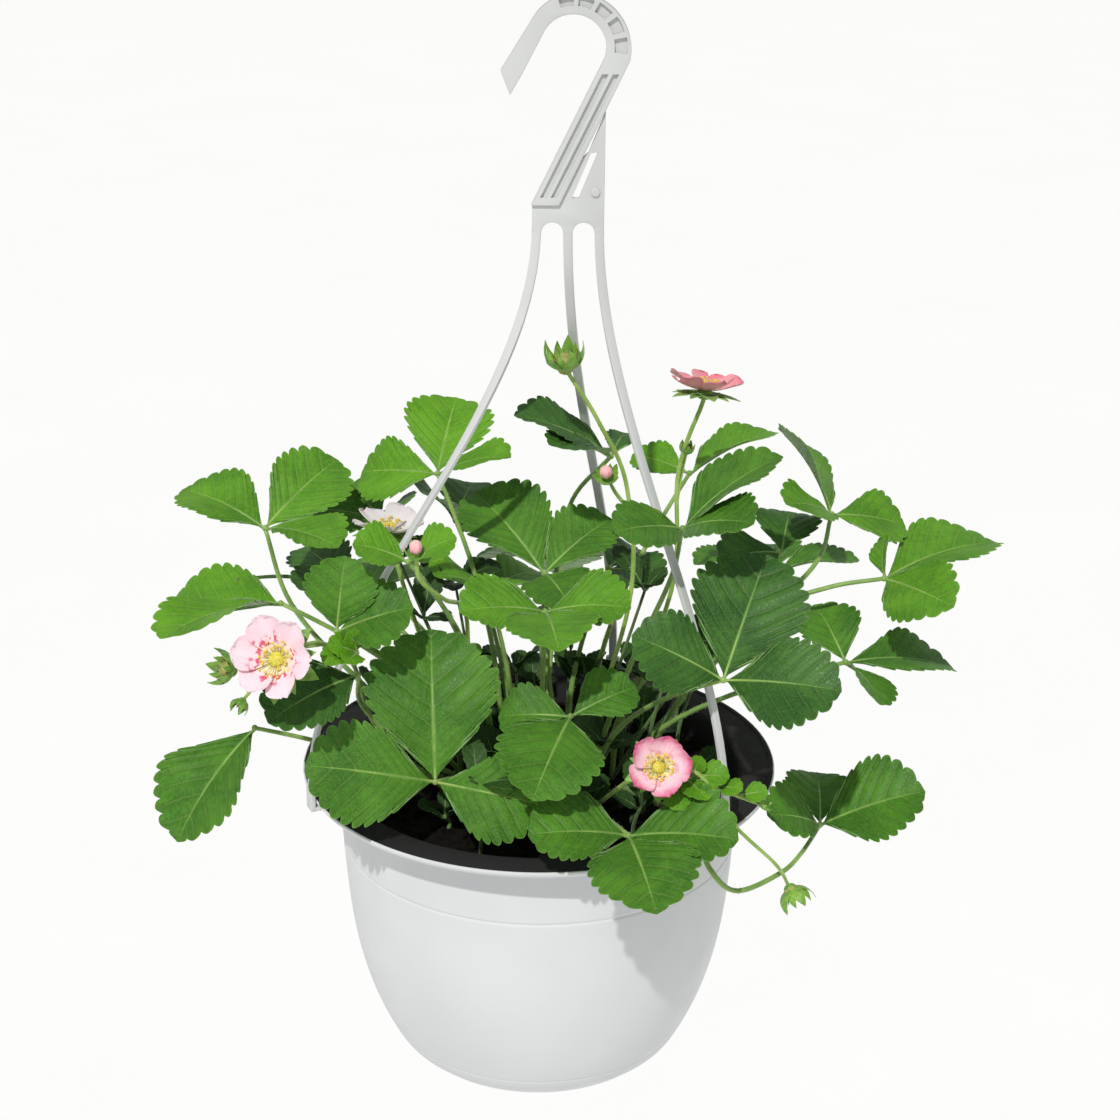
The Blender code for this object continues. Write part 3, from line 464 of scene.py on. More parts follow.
def facing(face):
    """Columns are the local axes of a frame whose own +Z lies along face, as in the part."""
    return np.array(Vector(face).to_track_quat("Z", "Y").to_matrix())


def turn_z(angle):
    return np.array(Matrix.Rotation(angle, 3, "Z"))


def bezier(p0, p1, p2, p3, count):
    t = np.linspace(0, 1, count)[:, None]
    s = 1 - t
    return p0 * s**3 + 3 * p1 * s * s * t + 3 * p2 * s * t * t + p3 * t**3


def smooth_path(route, count):
    route = np.asarray(route, float)
    padded = np.vstack([2 * route[:1] - route[1:2], route, 2 * route[-1:] - route[-2:-1]])
    place = np.linspace(0, len(route) - 1, count)
    k = np.minimum(place.astype(int), len(route) - 2)
    t = (place - k)[:, None]
    a, b, c, d = (padded[k + i] for i in range(4))
    second, third = 2 * a - 5 * b + 4 * c - d, 3 * b - 3 * c + d - a
    return 0.5 * (2 * b + (c - a) * t + second * t * t + third * t**3)


# ---------------------------------------------------------------- materials


class Graph:
    """A material's nodes, with short names for the kinds that the materials below share."""

    def __init__(self, name):
        self.material = bpy.data.materials.new(name)
        self.material.use_nodes = True
        self.tree = self.material.node_tree
        self.shader = self.tree.nodes["Principled BSDF"]
        self.place = self.add("ShaderNodeTexCoord").outputs["Object"]

    def add(self, kind, inputs=(), **settings):
        node = self.tree.nodes.new(kind)
        for key, value in settings.items():
            setattr(node, key, value)
        for key, value in dict(inputs).items():
            self.put(node.inputs[key], value)
        return node

    def put(self, socket, value):
        if isinstance(value, bpy.types.NodeSocket):
            self.tree.links.new(value, socket)
        elif isinstance(value, tuple) and len(value) == 3 and socket.type == "RGBA":
            socket.default_value = (*value, 1.0)
        else:
            socket.default_value = value

    def noise(self, scale, detail=3.0, roughness=0.55, distortion=0.0, place=None):
        inputs = {"Vector": place or self.place, "Scale": scale, "Detail": detail, "Roughness": roughness,
                  "Distortion": distortion}
        return self.add("ShaderNodeTexNoise", inputs).outputs["Fac"]

    def cells(self, scale, feature="DISTANCE_TO_EDGE"):
        node = self.add("ShaderNodeTexVoronoi", {"Vector": self.place, "Scale": scale}, feature=feature)
        return node.outputs["Distance"]

    def remap(self, value, low, high, to_low=0.0, to_high=1.0):
        inputs = {"Value": value, "From Min": low, "From Max": high, "To Min": to_low, "To Max": to_high}
        return self.add("ShaderNodeMapRange", inputs, interpolation_type="SMOOTHSTEP").outputs["Result"]

    def math(self, operation, first, second=0.0):
        return self.add("ShaderNodeMath", {0: first, 1: second}, operation=operation).outputs[0]

    def plus(self, first, second):
        return self.math("ADD", first, second)

    def minus(self, first, second):
        return self.math("SUBTRACT", first, second)

    def times(self, first, second):
        return self.math("MULTIPLY", first, second)

    def mix(self, factor, first, second):
        return self.add("ShaderNodeMix", {0: factor, 6: first, 7: second}, data_type="RGBA").outputs[2]

    def bump(self, height, strength, distance, normal=None):
        inputs = {"Height": height, "Strength": strength, "Distance": distance}
        if normal is not None:
            inputs["Normal"] = normal
        return self.add("ShaderNodeBump", inputs).outputs["Normal"]

    def uv(self):
        layer = self.add("ShaderNodeUVMap", uv_map="UVMap").outputs["UV"]
        node = self.add("ShaderNodeSeparateXYZ", {0: layer})
        return node.outputs["X"], node.outputs["Y"]

    def finish(self, **sockets):
        for key, value in sockets.items():
            self.put(self.shader.inputs[key.replace("_", " ")], value)
        return self.material


def leaf_material(name, deep, light, vein, roughness, furrow_shade):
    """A blade's upper side: quilting between side veins, painted shade darkening the furrows along them, a
    fine net, and a paler line on every vein.
    """
    g = Graph(name)
    number, across = g.uv()
    wander = g.times(g.minus(g.noise(85.0, 2.0), 0.5), 0.3)
    from_vein = g.math("PINGPONG", g.plus(number, wander), 0.5)
    off_middle = g.math("ABSOLUTE", across)
    side_vein = g.times(g.remap(from_vein, 0.02, 0.1, 1.0, 0.0), g.remap(off_middle, 0.55, 1.0, 1.0, 0.35))
    midrib = g.remap(off_middle, 0.012, 0.05, 1.0, 0.0)
    veins = g.math("MAXIMUM", side_vein, midrib)
    net = g.remap(g.cells(430.0), 0.0, 0.12, 1.0, 0.0)
    patches = g.noise(38.0, 4.0, 0.6)
    grain = g.noise(420.0, 4.0, 0.6)
    tone = g.plus(g.times(patches, 0.75), g.times(grain, 0.3))
    colour = g.mix(g.remap(tone, 0.36, 0.68), deep, light)
    # painted shade: the furrows along the side veins are darkened towards a darker copy of the deep green
    furrow_shade_mask = g.remap(from_vein, 0.0, 0.3, 1.0, 0.0)
    colour = g.mix(g.times(furrow_shade_mask, furrow_shade), colour, tuple(0.55 * c for c in deep))
    colour = g.mix(g.times(net, 0.12), colour, vein)
    colour = g.mix(g.times(side_vein, 0.2), colour, vein)
    colour = g.mix(g.times(midrib, 0.6), colour, vein)
    colour = g.mix(g.remap(off_middle, 0.975, 1.0, 0.0, 0.35), colour, vein)
    height = g.minus(g.times(grain, 0.3), g.times(net, 0.45))
    height = g.minus(height, veins)
    normal = g.bump(height, 0.4, 0.0006)
    return g.finish(Base_Color=colour, Roughness=g.remap(grain, 0.3, 0.7, roughness - 0.07, roughness + 0.09),
                    Specular_IOR_Level=0.2, Normal=normal)


def underside_material():
    g = Graph("leaf_underside")
    number, across = g.uv()
    from_vein = g.math("PINGPONG", number, 0.5)
    side_vein = g.remap(from_vein, 0.03, 0.12, 1.0, 0.0)
    midrib = g.remap(g.math("ABSOLUTE", across), 0.015, 0.05, 1.0, 0.0)
    veins = g.math("MAXIMUM", side_vein, midrib)
    net = g.remap(g.cells(430.0), 0.0, 0.12, 1.0, 0.0)
    colour = g.mix(g.noise(45.0, 4.0), (0.11, 0.24, 0.06), (0.19, 0.36, 0.09))
    colour = g.mix(g.times(g.math("MAXIMUM", veins, net), 0.45), colour, (0.3, 0.48, 0.16))
    height = g.plus(veins, g.times(net, 0.5))
    return g.finish(Base_Color=colour, Roughness=g.remap(g.noise(300.0), 0.3, 0.7, 0.55, 0.7),
                    Normal=g.bump(height, 0.5, 0.0006), Sheen_Weight=0.25, Sheen_Roughness=0.4)


def stalk_material(name, deep, light, red):
    g = Graph(name)
    colour = g.mix(g.remap(g.noise(60.0, 4.0), 0.35, 0.65), deep, light)
    colour = g.mix(g.remap(g.noise(22.0, 2.0), 0.6, 0.78, 0.0, 0.5), colour, red)
    streaks = g.noise(900.0, 3.0)
    return g.finish(Base_Color=colour, Roughness=g.remap(streaks, 0.3, 0.7, 0.42, 0.6),
                    Normal=g.bump(streaks, 0.25, 0.0003), Sheen_Weight=0.3, Sheen_Roughness=0.4)


def hair_material():
    g = Graph("plant_hair")
    colour = g.mix(g.noise(300.0), (0.45, 0.6, 0.26), (0.72, 0.78, 0.55))
    return g.finish(Base_Color=colour, Roughness=0.6)


def sepal_material(name, deep, light):
    g = Graph(name)
    colour = g.mix(g.remap(g.noise(140.0, 4.0), 0.35, 0.65), deep, light)
    streaks = g.noise(700.0, 3.0)
    colour = g.mix(g.remap(streaks, 0.45, 0.7, 0.0, 0.3), colour, (0.42, 0.56, 0.14))
    return g.finish(Base_Color=colour, Roughness=g.remap(streaks, 0.3, 0.7, 0.45, 0.62),
                    Normal=g.bump(streaks, 0.3, 0.0004), Sheen_Weight=0.3, Sheen_Roughness=0.4)


def petal_material(name, heart, field, edge, blotch, blotch_amount):
    """A petal from its pale heart to its edge, with darker blotches near the middle and fine veins."""
    g = Graph(name)
    out, across = g.uv()
    wobble = g.times(g.minus(g.noise(190.0, 3.0), 0.5), 0.4)
    reach = g.plus(out, wobble)
    colour = g.mix(g.remap(reach, 0.22, 0.5), heart, field)
    colour = g.mix(g.remap(reach, 0.55, 1.05), colour, edge)
    streak = g.add("ShaderNodeCombineXYZ", {0: g.times(out, 1.6), 1: g.times(across, 9.0)})
    streaks = g.noise(1.0, 4.0, 0.6, place=streak.outputs[0])
    spots = g.times(g.remap(g.noise(260.0, 2.0), 0.5, 0.57), g.remap(out, 0.3, 0.38))
    spots = g.times(spots, g.remap(reach, 0.46, 0.58, 1.0, 0.0))
    colour = g.mix(g.times(spots, blotch_amount), colour, blotch)
    colour = g.mix(g.remap(streaks, 0.45, 0.75, 0.0, 0.3), colour, edge)
    normal = g.bump(streaks, 0.35, 0.0005)
    return g.finish(Base_Color=colour, Roughness=g.remap(streaks, 0.3, 0.7, 0.45, 0.6), Normal=normal,
                    Subsurface_Weight=0.15, Subsurface_Radius=(0.004, 0.002, 0.002), Subsurface_Scale=0.3,
                    Sheen_Weight=0.2, Sheen_Roughness=0.4)


def grain_material(name, deep, light, scale, roughness, bump=0.5):
    """Anthers, pistils, dry brown parts: two colours in fine grain."""
    g = Graph(name)
    grain = g.noise(scale, 4.0, 0.6)
    colour = g.mix(g.remap(grain, 0.35, 0.65), deep, light)
    return g.finish(Base_Color=colour, Roughness=g.remap(grain, 0.3, 0.7, roughness - 0.1, roughness + 0.1),
                    Normal=g.bump(grain, bump, 0.0004))


def plastic_material(name, colour, shade, roughness, shine=0.45):
    """Moulded plastic: faint flow marks, a fine moulded skin and a little dust."""
    g = Graph(name)
    flow = g.noise(9.0, 3.0, 0.5, 0.4)
    skin = g.noise(1500.0, 2.0)
    dust = g.noise(55.0, 6.0, 0.7)
    tint = g.mix(g.remap(flow, 0.3, 0.7), shade, colour)
    tint = g.mix(g.remap(dust, 0.56, 0.8, 0.0, 0.35), tint, shade)
    normal = g.bump(skin, 0.12, 0.0002, g.bump(flow, 0.08, 0.002))
    return g.finish(Base_Color=tint, Roughness=g.remap(dust, 0.3, 0.75, roughness, roughness + 0.18),
                    Normal=normal, Specular_IOR_Level=shine)


def soil_material():
    g = Graph("potting_soil")
    lumps = g.noise(170.0, 6.0, 0.7)
    fibres = g.noise(620.0, 4.0, 0.7, 1.5)
    # The soil's own dark brown, made darker still as painted shade of the foliage over it.
    colour = g.mix(g.remap(lumps, 0.3, 0.7), (0.002, 0.0017, 0.0013), (0.012, 0.009, 0.006))
    colour = g.mix(g.remap(fibres, 0.6, 0.78, 0.0, 0.5), colour, (0.035, 0.023, 0.013))
    height = g.plus(lumps, g.times(fibres, 0.4))
    return g.finish(Base_Color=colour, Roughness=g.remap(fibres, 0.3, 0.7, 0.85, 1.0),
                    Normal=g.bump(height, 0.9, 0.003), Specular_IOR_Level=0.15)


def floor_material():
    g = Graph("floor_paper")
    colour = g.mix(g.noise(2.0, 3.0), (0.9, 0.9, 0.9), (0.93, 0.93, 0.93))
    return g.finish(Base_Color=colour, Roughness=g.remap(g.noise(40.0), 0.3, 0.7, 0.75, 0.85))


# ---------------------------------------------------------------- foliage


def half_width(s):
    """Half the width of a leaflet at share s of its length, as a share of the greatest."""
    rising = np.sin(np.pi / 2 * np.minimum(s, WIDEST) / WIDEST) ** 1.2
    falling = np.cos(np.pi / 2 * np.clip((s - WIDEST) / (1 - WIDEST), 0, 1)) ** 0.66
    return np.where(s < WIDEST, rising, falling)


def edge_rows(teeth):
    """Each row's place along the even edge, how far its tooth stands out, and its count of side veins."""
    notches = [TOOTH_START + (TOOTH_END - TOOTH_START) * (k / teeth) ** 0.9 for k in range(teeth + 1)]
    first_gap = notches[1] - notches[0]
    rows = [(s, 0.0, (s - notches[0]) / first_gap - TOOTH_PEAK)
            for s in (0.0, 0.03, 0.065, 0.1, 0.135, 0.17)]
    for k, (notch, following) in enumerate(zip(notches, notches[1:])):
        rows += [(notch + (following - notch) * p, rise, k + p - TOOTH_PEAK) for p, rise in TOOTH]
    for p in (0.0, 0.3, 0.6, 0.85, 1.0):
        end_tooth = math.sin(math.pi * p) ** 0.7 * 0.6
        rows.append((notches[-1] + (1 - notches[-1]) * p, end_tooth, teeth + p - TOOTH_PEAK))
    return np.array(rows).T


class Blade:
    """A leaflet's place, size and arch, as the part has them."""

    def __init__(self, hub, tip, face, ratio, inner_side):
        self.hub = np.array(hub, float)
        self.length = np.linalg.norm(tip)
        self.along = unit(tip)
        self.up = unit(np.array(face) - self.along * np.dot(face, self.along))
        self.across = np.cross(self.up, self.along)
        self.half = ratio * self.length / 2
        self.inner_side = inner_side

    def at(self, s, width, lift=0.0):
        radius = self.length / (2 * math.sin(ARCH / 2))
        angle = ARCH * (s - 0.5)
        x = self.length / 2 + radius * np.sin(angle) + LEAFLET_STALK * (1 - s)
        y = width * self.half
        y = np.where(np.sign(width) == self.inner_side, y * (1 - INNER_LOSS * (1 - s)), y)
        z = radius * (np.cos(angle) - math.cos(ARCH / 2)) + lift
        z = z + FOLD * (np.sqrt(y * y + FOLD_ROUND**2) - FOLD_ROUND)
        return (self.hub + x[..., None] * self.along + y[..., None] * self.across + z[..., None] * self.up)


def add_leaflet(shape, blade, draw, teeth=None, steps=ACROSS):
    teeth = teeth or (SMALL_TEETH if blade.length < SMALL_LEAFLET else LARGE_TEETH)
    edge, rise, number = edge_rows(teeth)
    even = half_width(edge)
    toothed = edge >= TOOTH_START
    width = np.where(toothed, even - NOTCH_DEPTH + (NOTCH_DEPTH + TOOTH_DEPTH) * rise, even)
    width = np.maximum(width, 0.02)
    root = edge - VEIN_LAG * even
    root = root - root[0]
    root /= root[-1]
    edge = edge + 0.02 * rise * (edge < TOOTH_END)
    across = np.array([*(-t for t in reversed(steps[1:])), *steps])
    t = np.abs(across)[None, :]
    s = root[:, None] + (edge - root)[:, None] * t**1.15
    from_vein = np.abs(number - np.round(number))[:, None]
    quilt = (2 * from_vein) ** 0.7 * np.minimum(1, t / 0.13) * (1 - 0.6 * t**3)
    fade = np.clip(even[:, None] * 1.6, 0, 1)
    lift = RELIEF * blade.length * quilt * fade
    for side in (-1, 1):
        waves = draw.uniform(1.0, 1.8)
        wave = WAVE * blade.length * np.sin(2 * np.pi * (waves * s + draw.uniform(0, 1))) * t**2
        lift = lift + np.where(np.sign(across)[None, :] == side, wave * fade, 0)
    points = blade.at(s, width[:, None] * across[None, :], lift)
    uv = np.stack(np.broadcast_arrays(number[:, None], across[None, :]), -1)
    shape.sheet(points, LEAF_THICK, 0, 1, uv)
    along_rib = np.linspace(0.0, 0.92, 12)
    rib = blade.at(along_rib, np.zeros(12), -0.35 * np.ones(12))
    rib = np.vstack([blade.hub[None, :], rib])
    shape.tube(rib, np.concatenate([[0.95], np.linspace(0.9, 0.25, 12)]), 2, 6)


def soil_height(x, y):
    edge = WALL[0][0] - WALL_THICK
    return SOIL_TOP + SOIL_CROWN * (1 - (x * x + y * y) / edge**2)


def rising(root, route, count):
    surface = np.array((root[0], root[1], soil_height(root[0], root[1])))
    clear = surface + (0, 0, STALK_FREE)
    return np.vstack([surface - (0, 0, HOLE_DEPTH - 1), smooth_path(np.vstack([clear, route]), count)])


def stalk_path(leaf):
    hub = np.array(leaf.hub, float)
    flat = np.array((hub[0], hub[1], 0.0))
    root = flat * (0.25 + 8 / max(np.linalg.norm(flat), 16))
    if leaf.via:
        return rising(root, np.vstack([leaf.via, hub]), STALK_POINTS + 6 * len(leaf.via))
    surface = soil_height(root[0], root[1])
    start = np.array((root[0], root[1], surface + STALK_FREE))
    rise = hub[2] - start[2]
    outward = np.array((hub[0] - root[0], hub[1] - root[1], 0.0))
    leaving = start + (0, 0, 0.5 * rise)
    arriving = hub - outward * 0.4 - (0, 0, 0.2 * rise)
    curve = bezier(start, leaving, arriving, hub, STALK_POINTS)
    return np.vstack([start - (0, 0, STALK_FREE + HOLE_DEPTH - 1), curve])


def make_leaf(leaf, number, materials):
    draw = np.random.default_rng(LEAF_SEED + number)
    shape = Shape()
    middle = np.array(leaf.tips[0], float)
    faces = leaf.faces * (len(leaf.tips) // len(leaf.faces))
    for i, (tip, face) in enumerate(zip(leaf.tips, faces)):
        inner_side = 0
        if i:
            inner_side = 1 if np.dot(np.cross(face, tip), middle) > 0 else -1
        add_leaflet(shape, Blade(leaf.hub, tip, face, leaf.ratio, inner_side), draw)
    path = stalk_path(leaf)
    radii = np.linspace(STALK_RADIUS * 1.1, STALK_RADIUS * 0.8, len(path))
    shape.tube(path, radii, 2)
    shape.ball(leaf.hub, (1.7, 1.7, 1.7), 2, around=8, rings=6)
    shape.hairs(path[1:], radii[1:], 3, LEAF_HAIR_SEED + number)
    used = pick(materials, "leaf_" + leaf.tone, "underside", "stalk", "hair")
    shape.make(f"leaf_{leaf.name}_fine", used, "leaf", f"leaf_{leaf.name}")


def make_young_leaves(materials):
    """Small folded leaves between the stalks, in darker colours that are painted shade. They are placed
    freely and run through other leaves.
    """
    draw = np.random.default_rng(YOUNG_SEED)
    shape = Shape()
    for i in range(YOUNG_LEAVES + len(YOUNG_TALL)):
        angle = GOLDEN_ANGLE * i
        out = YOUNG_SPREAD * math.sqrt((i + 1) / YOUNG_LEAVES)
        away = np.array((math.cos(angle), math.sin(angle), 0.0))
        root = away * out
        root[2] = soil_height(root[0], root[1]) - 1
        hub = root + away * draw.uniform(2, 10) + (0, 0, draw.uniform(*YOUNG_HEIGHT))
        if i >= YOUNG_LEAVES:
            hub = np.array(YOUNG_TALL[i - YOUNG_LEAVES], float)
            root = hub * (0.45, 0.45, 0)
            root[2] = soil_height(root[0], root[1]) - 1
        middle = (root + hub) / 2 - away * 3
        shape.tube(smooth_path(np.stack([root, middle, hub]), 7), np.linspace(1.1, 0.8, 7), 2, 6)
        start = draw.uniform(0, 2 * math.pi)
        for k in range(3):
            side = start + 2.1 * k
            length = draw.uniform(*YOUNG_LENGTH)
            tip = length * unit((math.cos(side), math.sin(side), draw.uniform(0.2, 1.5)))
            reach = np.linalg.norm((hub + tip)[:2])
            if reach > YOUNG_REACH:
                tip[:2] *= 0.3
            face = (-0.4 * math.cos(side), -0.4 * math.sin(side) - 0.2, 1.0)
            blade = Blade(hub, tip, face, draw.uniform(0.45, 0.72), 0)
            add_leaflet(shape, blade, draw, YOUNG_TEETH, YOUNG_ACROSS)
    shape.tube(smooth_path(np.array(BARE_STALK), 14), np.linspace(1.3, 0.9, 14), 2, 8)
    # leaf_inner and the darker stalks are painted shade for the depth of the plant
    used = pick(materials, "leaf_inner", "leaf_inner", "shaded_inner_stalk")
    shape.make("young_leaves", used, "leaf")


def make_bracts(materials):
    """Small bright leaves beside the left and right flower. The left four stop short of its stalk."""
    draw = np.random.default_rng(BRACT_SEED)
    shape = Shape()
    for root, tip, face in BRACTS:
        add_leaflet(shape, Blade(root, tip, face, 0.72, 0), draw, BRACT_TEETH, YOUNG_ACROSS)
    used = pick(materials, "leaf_young", "underside", "stalk")
    shape.make("bracts", used, "leaf")


# ---------------------------------------------------------------- flowers


def add_sepal(shape, middle, axes, angle, reach, half, rise, kind, draw):
    """One pointed lobe, folded a little along its middle, whose tip is raised by the closing angle."""
    q = np.linspace(0, 1, 8)[:, None]
    t = np.linspace(-1, 1, 5)[None, :]
    width = half * np.sin(np.pi * np.clip(0.12 + 0.88 * q, 0, 1) ** 0.75) ** 0.8 + 0.08
    out = reach * q * np.cos(rise * q) * np.ones_like(t)
    lift = reach * q * q * math.sin(rise) + 0.22 * width * t * t
    lift = lift + 0.05 * reach * draw.uniform(-1, 1) * q * q
    side = width * t + 0.06 * reach * draw.uniform(-1, 1) * q * q
    local = np.stack([out, side, lift], -1) @ turn_z(angle).T
    shape.sheet(middle + local @ axes.T, 0.3, kind, kind)


def add_calyx(shape, middle, face, radius, closing, number, spent):
    """Five sepals, five narrower bracts between them, and what is left of the flower if it is spent."""
    draw = np.random.default_rng(CALYX_SEED + number)
    axes = facing(face)
    middle = np.array(middle, float)
    rise = math.radians(closing)
    lobes = 10 if radius > 8 else 5
    for i in range(lobes):
        angle = math.pi * (2 * i + 1) / lobes
        reach = radius * (1.0 if lobes == 5 or i % 2 else 0.86)
        half = radius * (0.27 if lobes == 10 else 0.34) * (1.0 if i % 2 else 0.72)
        add_sepal(shape, middle, axes, angle, reach, half, rise, 0, draw)
    if lobes == 5:
        for i in range(5):
            angle = 2 * math.pi * i / 5
            add_sepal(shape, middle - axes[:, 2] * 0.3, axes, angle, radius * 0.8, radius * 0.16,
                      rise * 0.8, 0, draw)
    shape.ball(middle, (0.24 * radius, 0.24 * radius, 0.16 * radius), 0, axes)
    if spent:
        size = 0.3 * radius
        shape.ball(middle + axes[:, 2] * size * 0.6, (size, size, size * 1.1), 3, axes, 14, 9,
                   lambda polar, angle: 1 + 0.07 * np.sin(9 * angle) * np.sin(8 * polar))
        for i in range(14):
            angle = GOLDEN_ANGLE * i
            foot = middle + axes @ (np.array((math.cos(angle), math.sin(angle), 0.5)) * size * 0.9)
            end = middle + axes @ (np.array((math.cos(angle) * 1.5, math.sin(angle) * 1.5, 1.5)) * size)
            shape.tube(np.stack([foot, (foot + end) / 2 + axes[:, 2] * 0.3, end]), (0.22, 0.2, 0.34), 4, 4)


def nearest_on(path, target):
    starts, steps = path[:-1], np.diff(path, axis=0)
    share = np.clip(((target - starts) * steps).sum(1) / (steps**2).sum(1), 0, 1)
    feet = starts + steps * share[:, None]
    return feet[np.argmin(np.linalg.norm(feet - target, axis=1))]


def make_truss(truss, number, materials):
    shape = Shape()
    backs = [np.array(f.middle) - unit(f.face) * CALYX_DROP for f in truss.flowers]
    root = np.array(truss.main[0], float)
    route = np.array([*truss.main[1:], *backs], float)
    path = rising(root, route, 9 * len(truss.main))
    radii = np.linspace(FLOWER_STALK_RADIUS * 1.1, FLOWER_STALK_RADIUS, len(path))
    shape.tube(path, radii, 1)
    shape.hairs(path[1:], radii[1:], 2, TRUSS_HAIR_SEED + number)
    for i, (start, *side) in enumerate(truss.sides):
        fork = nearest_on(path, np.array(start, float))
        line = smooth_path(np.vstack([fork, side]), 8 * len(side) + 2)
        thinning = np.linspace(FLOWER_STALK_RADIUS, 0.8, len(line))
        shape.tube(line, thinning, 1)
        shape.hairs(line, thinning, 2, SIDE_HAIR_SEED + 10 * number + i)
    for i, (flower, back) in enumerate(zip(truss.flowers, backs)):
        add_calyx(shape, back, flower.face, flower.radius * 0.86, -4, 10 * number + i, False)
    for i, head in enumerate(truss.calyxes):
        add_calyx(shape, head.middle, head.face, head.radius, head.closing, 10 * number + 5 + i, head.spent)
    used = pick(materials, "sepal", "truss_stalk", "hair", "fruit", "dry")
    shape.make(f"{truss.name}_fine", used, "calyx", truss.name)


PETAL_OUTLINE = (  # share of the length, and half the width there as a share of the greatest
    (0.1, 0.2), (0.2, 0.36), (0.33, 0.6), (0.47, 0.83), (0.6, 0.96),
    (0.72, 1.0), (0.82, 0.95), (0.9, 0.82), (0.96, 0.62), (0.995, 0.36),
)


def make_petals(flower, number, materials):
    """Broad petals, each turned a little about its own axis so that one edge lies over its neighbour."""
    draw = np.random.default_rng(PETAL_SEED + number)
    axes = facing(flower.face)
    shape = Shape()
    middle = np.array(flower.middle, float)
    outline = np.array(PETAL_OUTLINE)
    s, width = outline[:, :1], outline[:, 1:]
    t = np.linspace(-1, 1, 13)[None, :]
    half = 1.05 * math.pi * flower.radius * 0.62 / flower.petals
    for i in range(flower.petals):
        turn = Matrix.Rotation(2 * math.pi * i / flower.petals + draw.uniform(-0.07, 0.07), 3, "Z")
        rise = Matrix.Rotation(-math.radians(flower.rise + draw.uniform(-5, 5)), 3, "Y")
        roll = Matrix.Rotation(math.radians(9), 3, "X")
        local_axes = np.array(turn @ rise @ roll)
        reach = flower.radius * draw.uniform(0.94, 1.0)
        end = 1 - 0.05 * (s > 0.9) * (1 - np.abs(t)) ** 2
        x = reach * s * end * (1 - 0.1 * (t * t) * (s > 0.5) * (s - 0.5) * 2)
        y = half * width * t
        phase = draw.uniform(0, 6)
        z = reach * 0.16 * s * s + flower.radius * 0.13 * (width * t) ** 2
        z = z + 0.035 * reach * np.sin(4.2 * t + phase) * s**2 + 0.02 * reach * np.sin(9 * t + phase) * s**4
        local = np.stack([x * np.ones_like(t), y * np.ones_like(s), z * np.ones_like(t)], -1)
        local = local @ local_axes.T + (0, 0, 0.6)
        uv = np.stack([s * np.ones_like(t), t * np.ones_like(s)], -1)
        shape.sheet(middle + local @ axes.T, PETAL_THICK, 0, 1, uv)
    shape.ball(middle + axes[:, 2] * 0.9, (3.2, 3.2, 1.5), 2, axes, 16, 8)
    used = pick(materials, f"petal_{flower.name}", f"petal_{flower.name}_under", "sepal")
    shape.make(f"petals_{flower.name}_fine", used, "petal", f"petals_{flower.name}")


def make_stamens(flower, number, materials):
    draw = np.random.default_rng(STAMEN_SEED + number)
    axes = facing(flower.face)
    shape = Shape()
    base = np.array(flower.middle, float) + axes[:, 2] * (PETAL_TOP + GAP)
    core = 0.15 * flower.radius
    shape.ball(base + axes[:, 2] * 0.1, (core, core, 2.2), 1, axes, 20, 10)
    for i in range(PISTILS):
        share = (i + 0.5) / PISTILS
        polar, angle = math.acos(1 - share), GOLDEN_ANGLE * i
        out = np.array((math.sin(polar) * math.cos(angle), math.sin(polar) * math.sin(angle),
                        math.cos(polar)))
        shape.ball(base + axes @ (out * (core, core, 2.3)), (0.3, 0.3, 0.42), 1, axes @ facing(out), 5, 4)
    for i in range(STAMENS):
        angle = 2 * math.pi * (i + draw.uniform(-0.3, 0.3)) / STAMENS
        away = np.array((math.cos(angle), math.sin(angle), 0))
        reach, height = flower.radius * draw.uniform(0.2, 0.38), draw.uniform(1.4, 3.8)
        foot = axes @ (away * 2.4 + (0, 0, -0.9))
        bend = axes @ (away * (reach * 0.72) + (0, 0, height * 0.45))
        end = axes @ (away * reach + (0, 0, height))
        shape.tube(base + np.stack([foot, bend, end]), (0.24, 0.2, 0.16), 2, 5)
        tip_axes = axes @ turn_z(angle)
        shape.ball(base + end, (0.6, 0.95, 0.5), 0, tip_axes, 7, 5)
    used = pick(materials, "anther", "pistil", "filament")
    shape.make(f"stamens_{flower.name}_fine", used, "pollen", f"stamens_{flower.name}")


def make_bud(bud, around, materials):
    """Furled petals, each edge a spiral step over the next."""
    axes = facing(around.face)
    middle = np.array(around.middle, float) + axes[:, 2] * (1.0 + 1.6 * bud.radius)

    def furl(polar, angle):
        turn = (5 * angle + 2.6 * polar) / (2 * np.pi)
        return 0.9 + 0.1 * (turn - np.floor(turn))

    shape = Shape()
    shape.ball(middle, (bud.radius, bud.radius, bud.radius * 1.2), 0, axes, 50, 22, furl)
    foot = np.array(around.middle, float)
    shape.tube(np.stack([foot, middle - axes[:, 2] * bud.radius * 0.8]), (1.5, 2.0), 1, 10)
    used = pick(materials, "petal_bud", "sepal")
    shape.make(f"bud_{bud.name}_fine", used, "petal", f"bud_{bud.name}")


# ---------------------------------------------------------------- pot and soil


def lathe(shape, profile, steps, kind):
    """A surface of revolution, facing outward where its (radius, height) profile runs down."""
    profile = np.array(profile, float)
    angle = np.linspace(0, 2 * np.pi, steps, endpoint=False)
    points = np.stack([
        profile[:, :1] * np.cos(angle)[None, :],
        profile[:, :1] * np.sin(angle)[None, :],
        np.repeat(profile[:, 1:], steps, axis=1),
    ], -1)
    shape.grid(points, kind, closed=True)


def radius_at(height):
    radii, heights = np.array(WALL).T
    return float(np.interp(-height, -heights, radii))


def wall_line(inset, top, bottom, count):
    """The wall's rounded profile from top to bottom, moved in by inset."""
    radii, heights = np.array(WALL).T
    corners = smooth_path(np.array([radii, heights, heights * 0]).T, 60)
    wanted = np.linspace(top, bottom, count)
    return [(float(np.interp(-z, -corners[:, 1], corners[:, 0])) - inset, float(z)) for z in wanted]


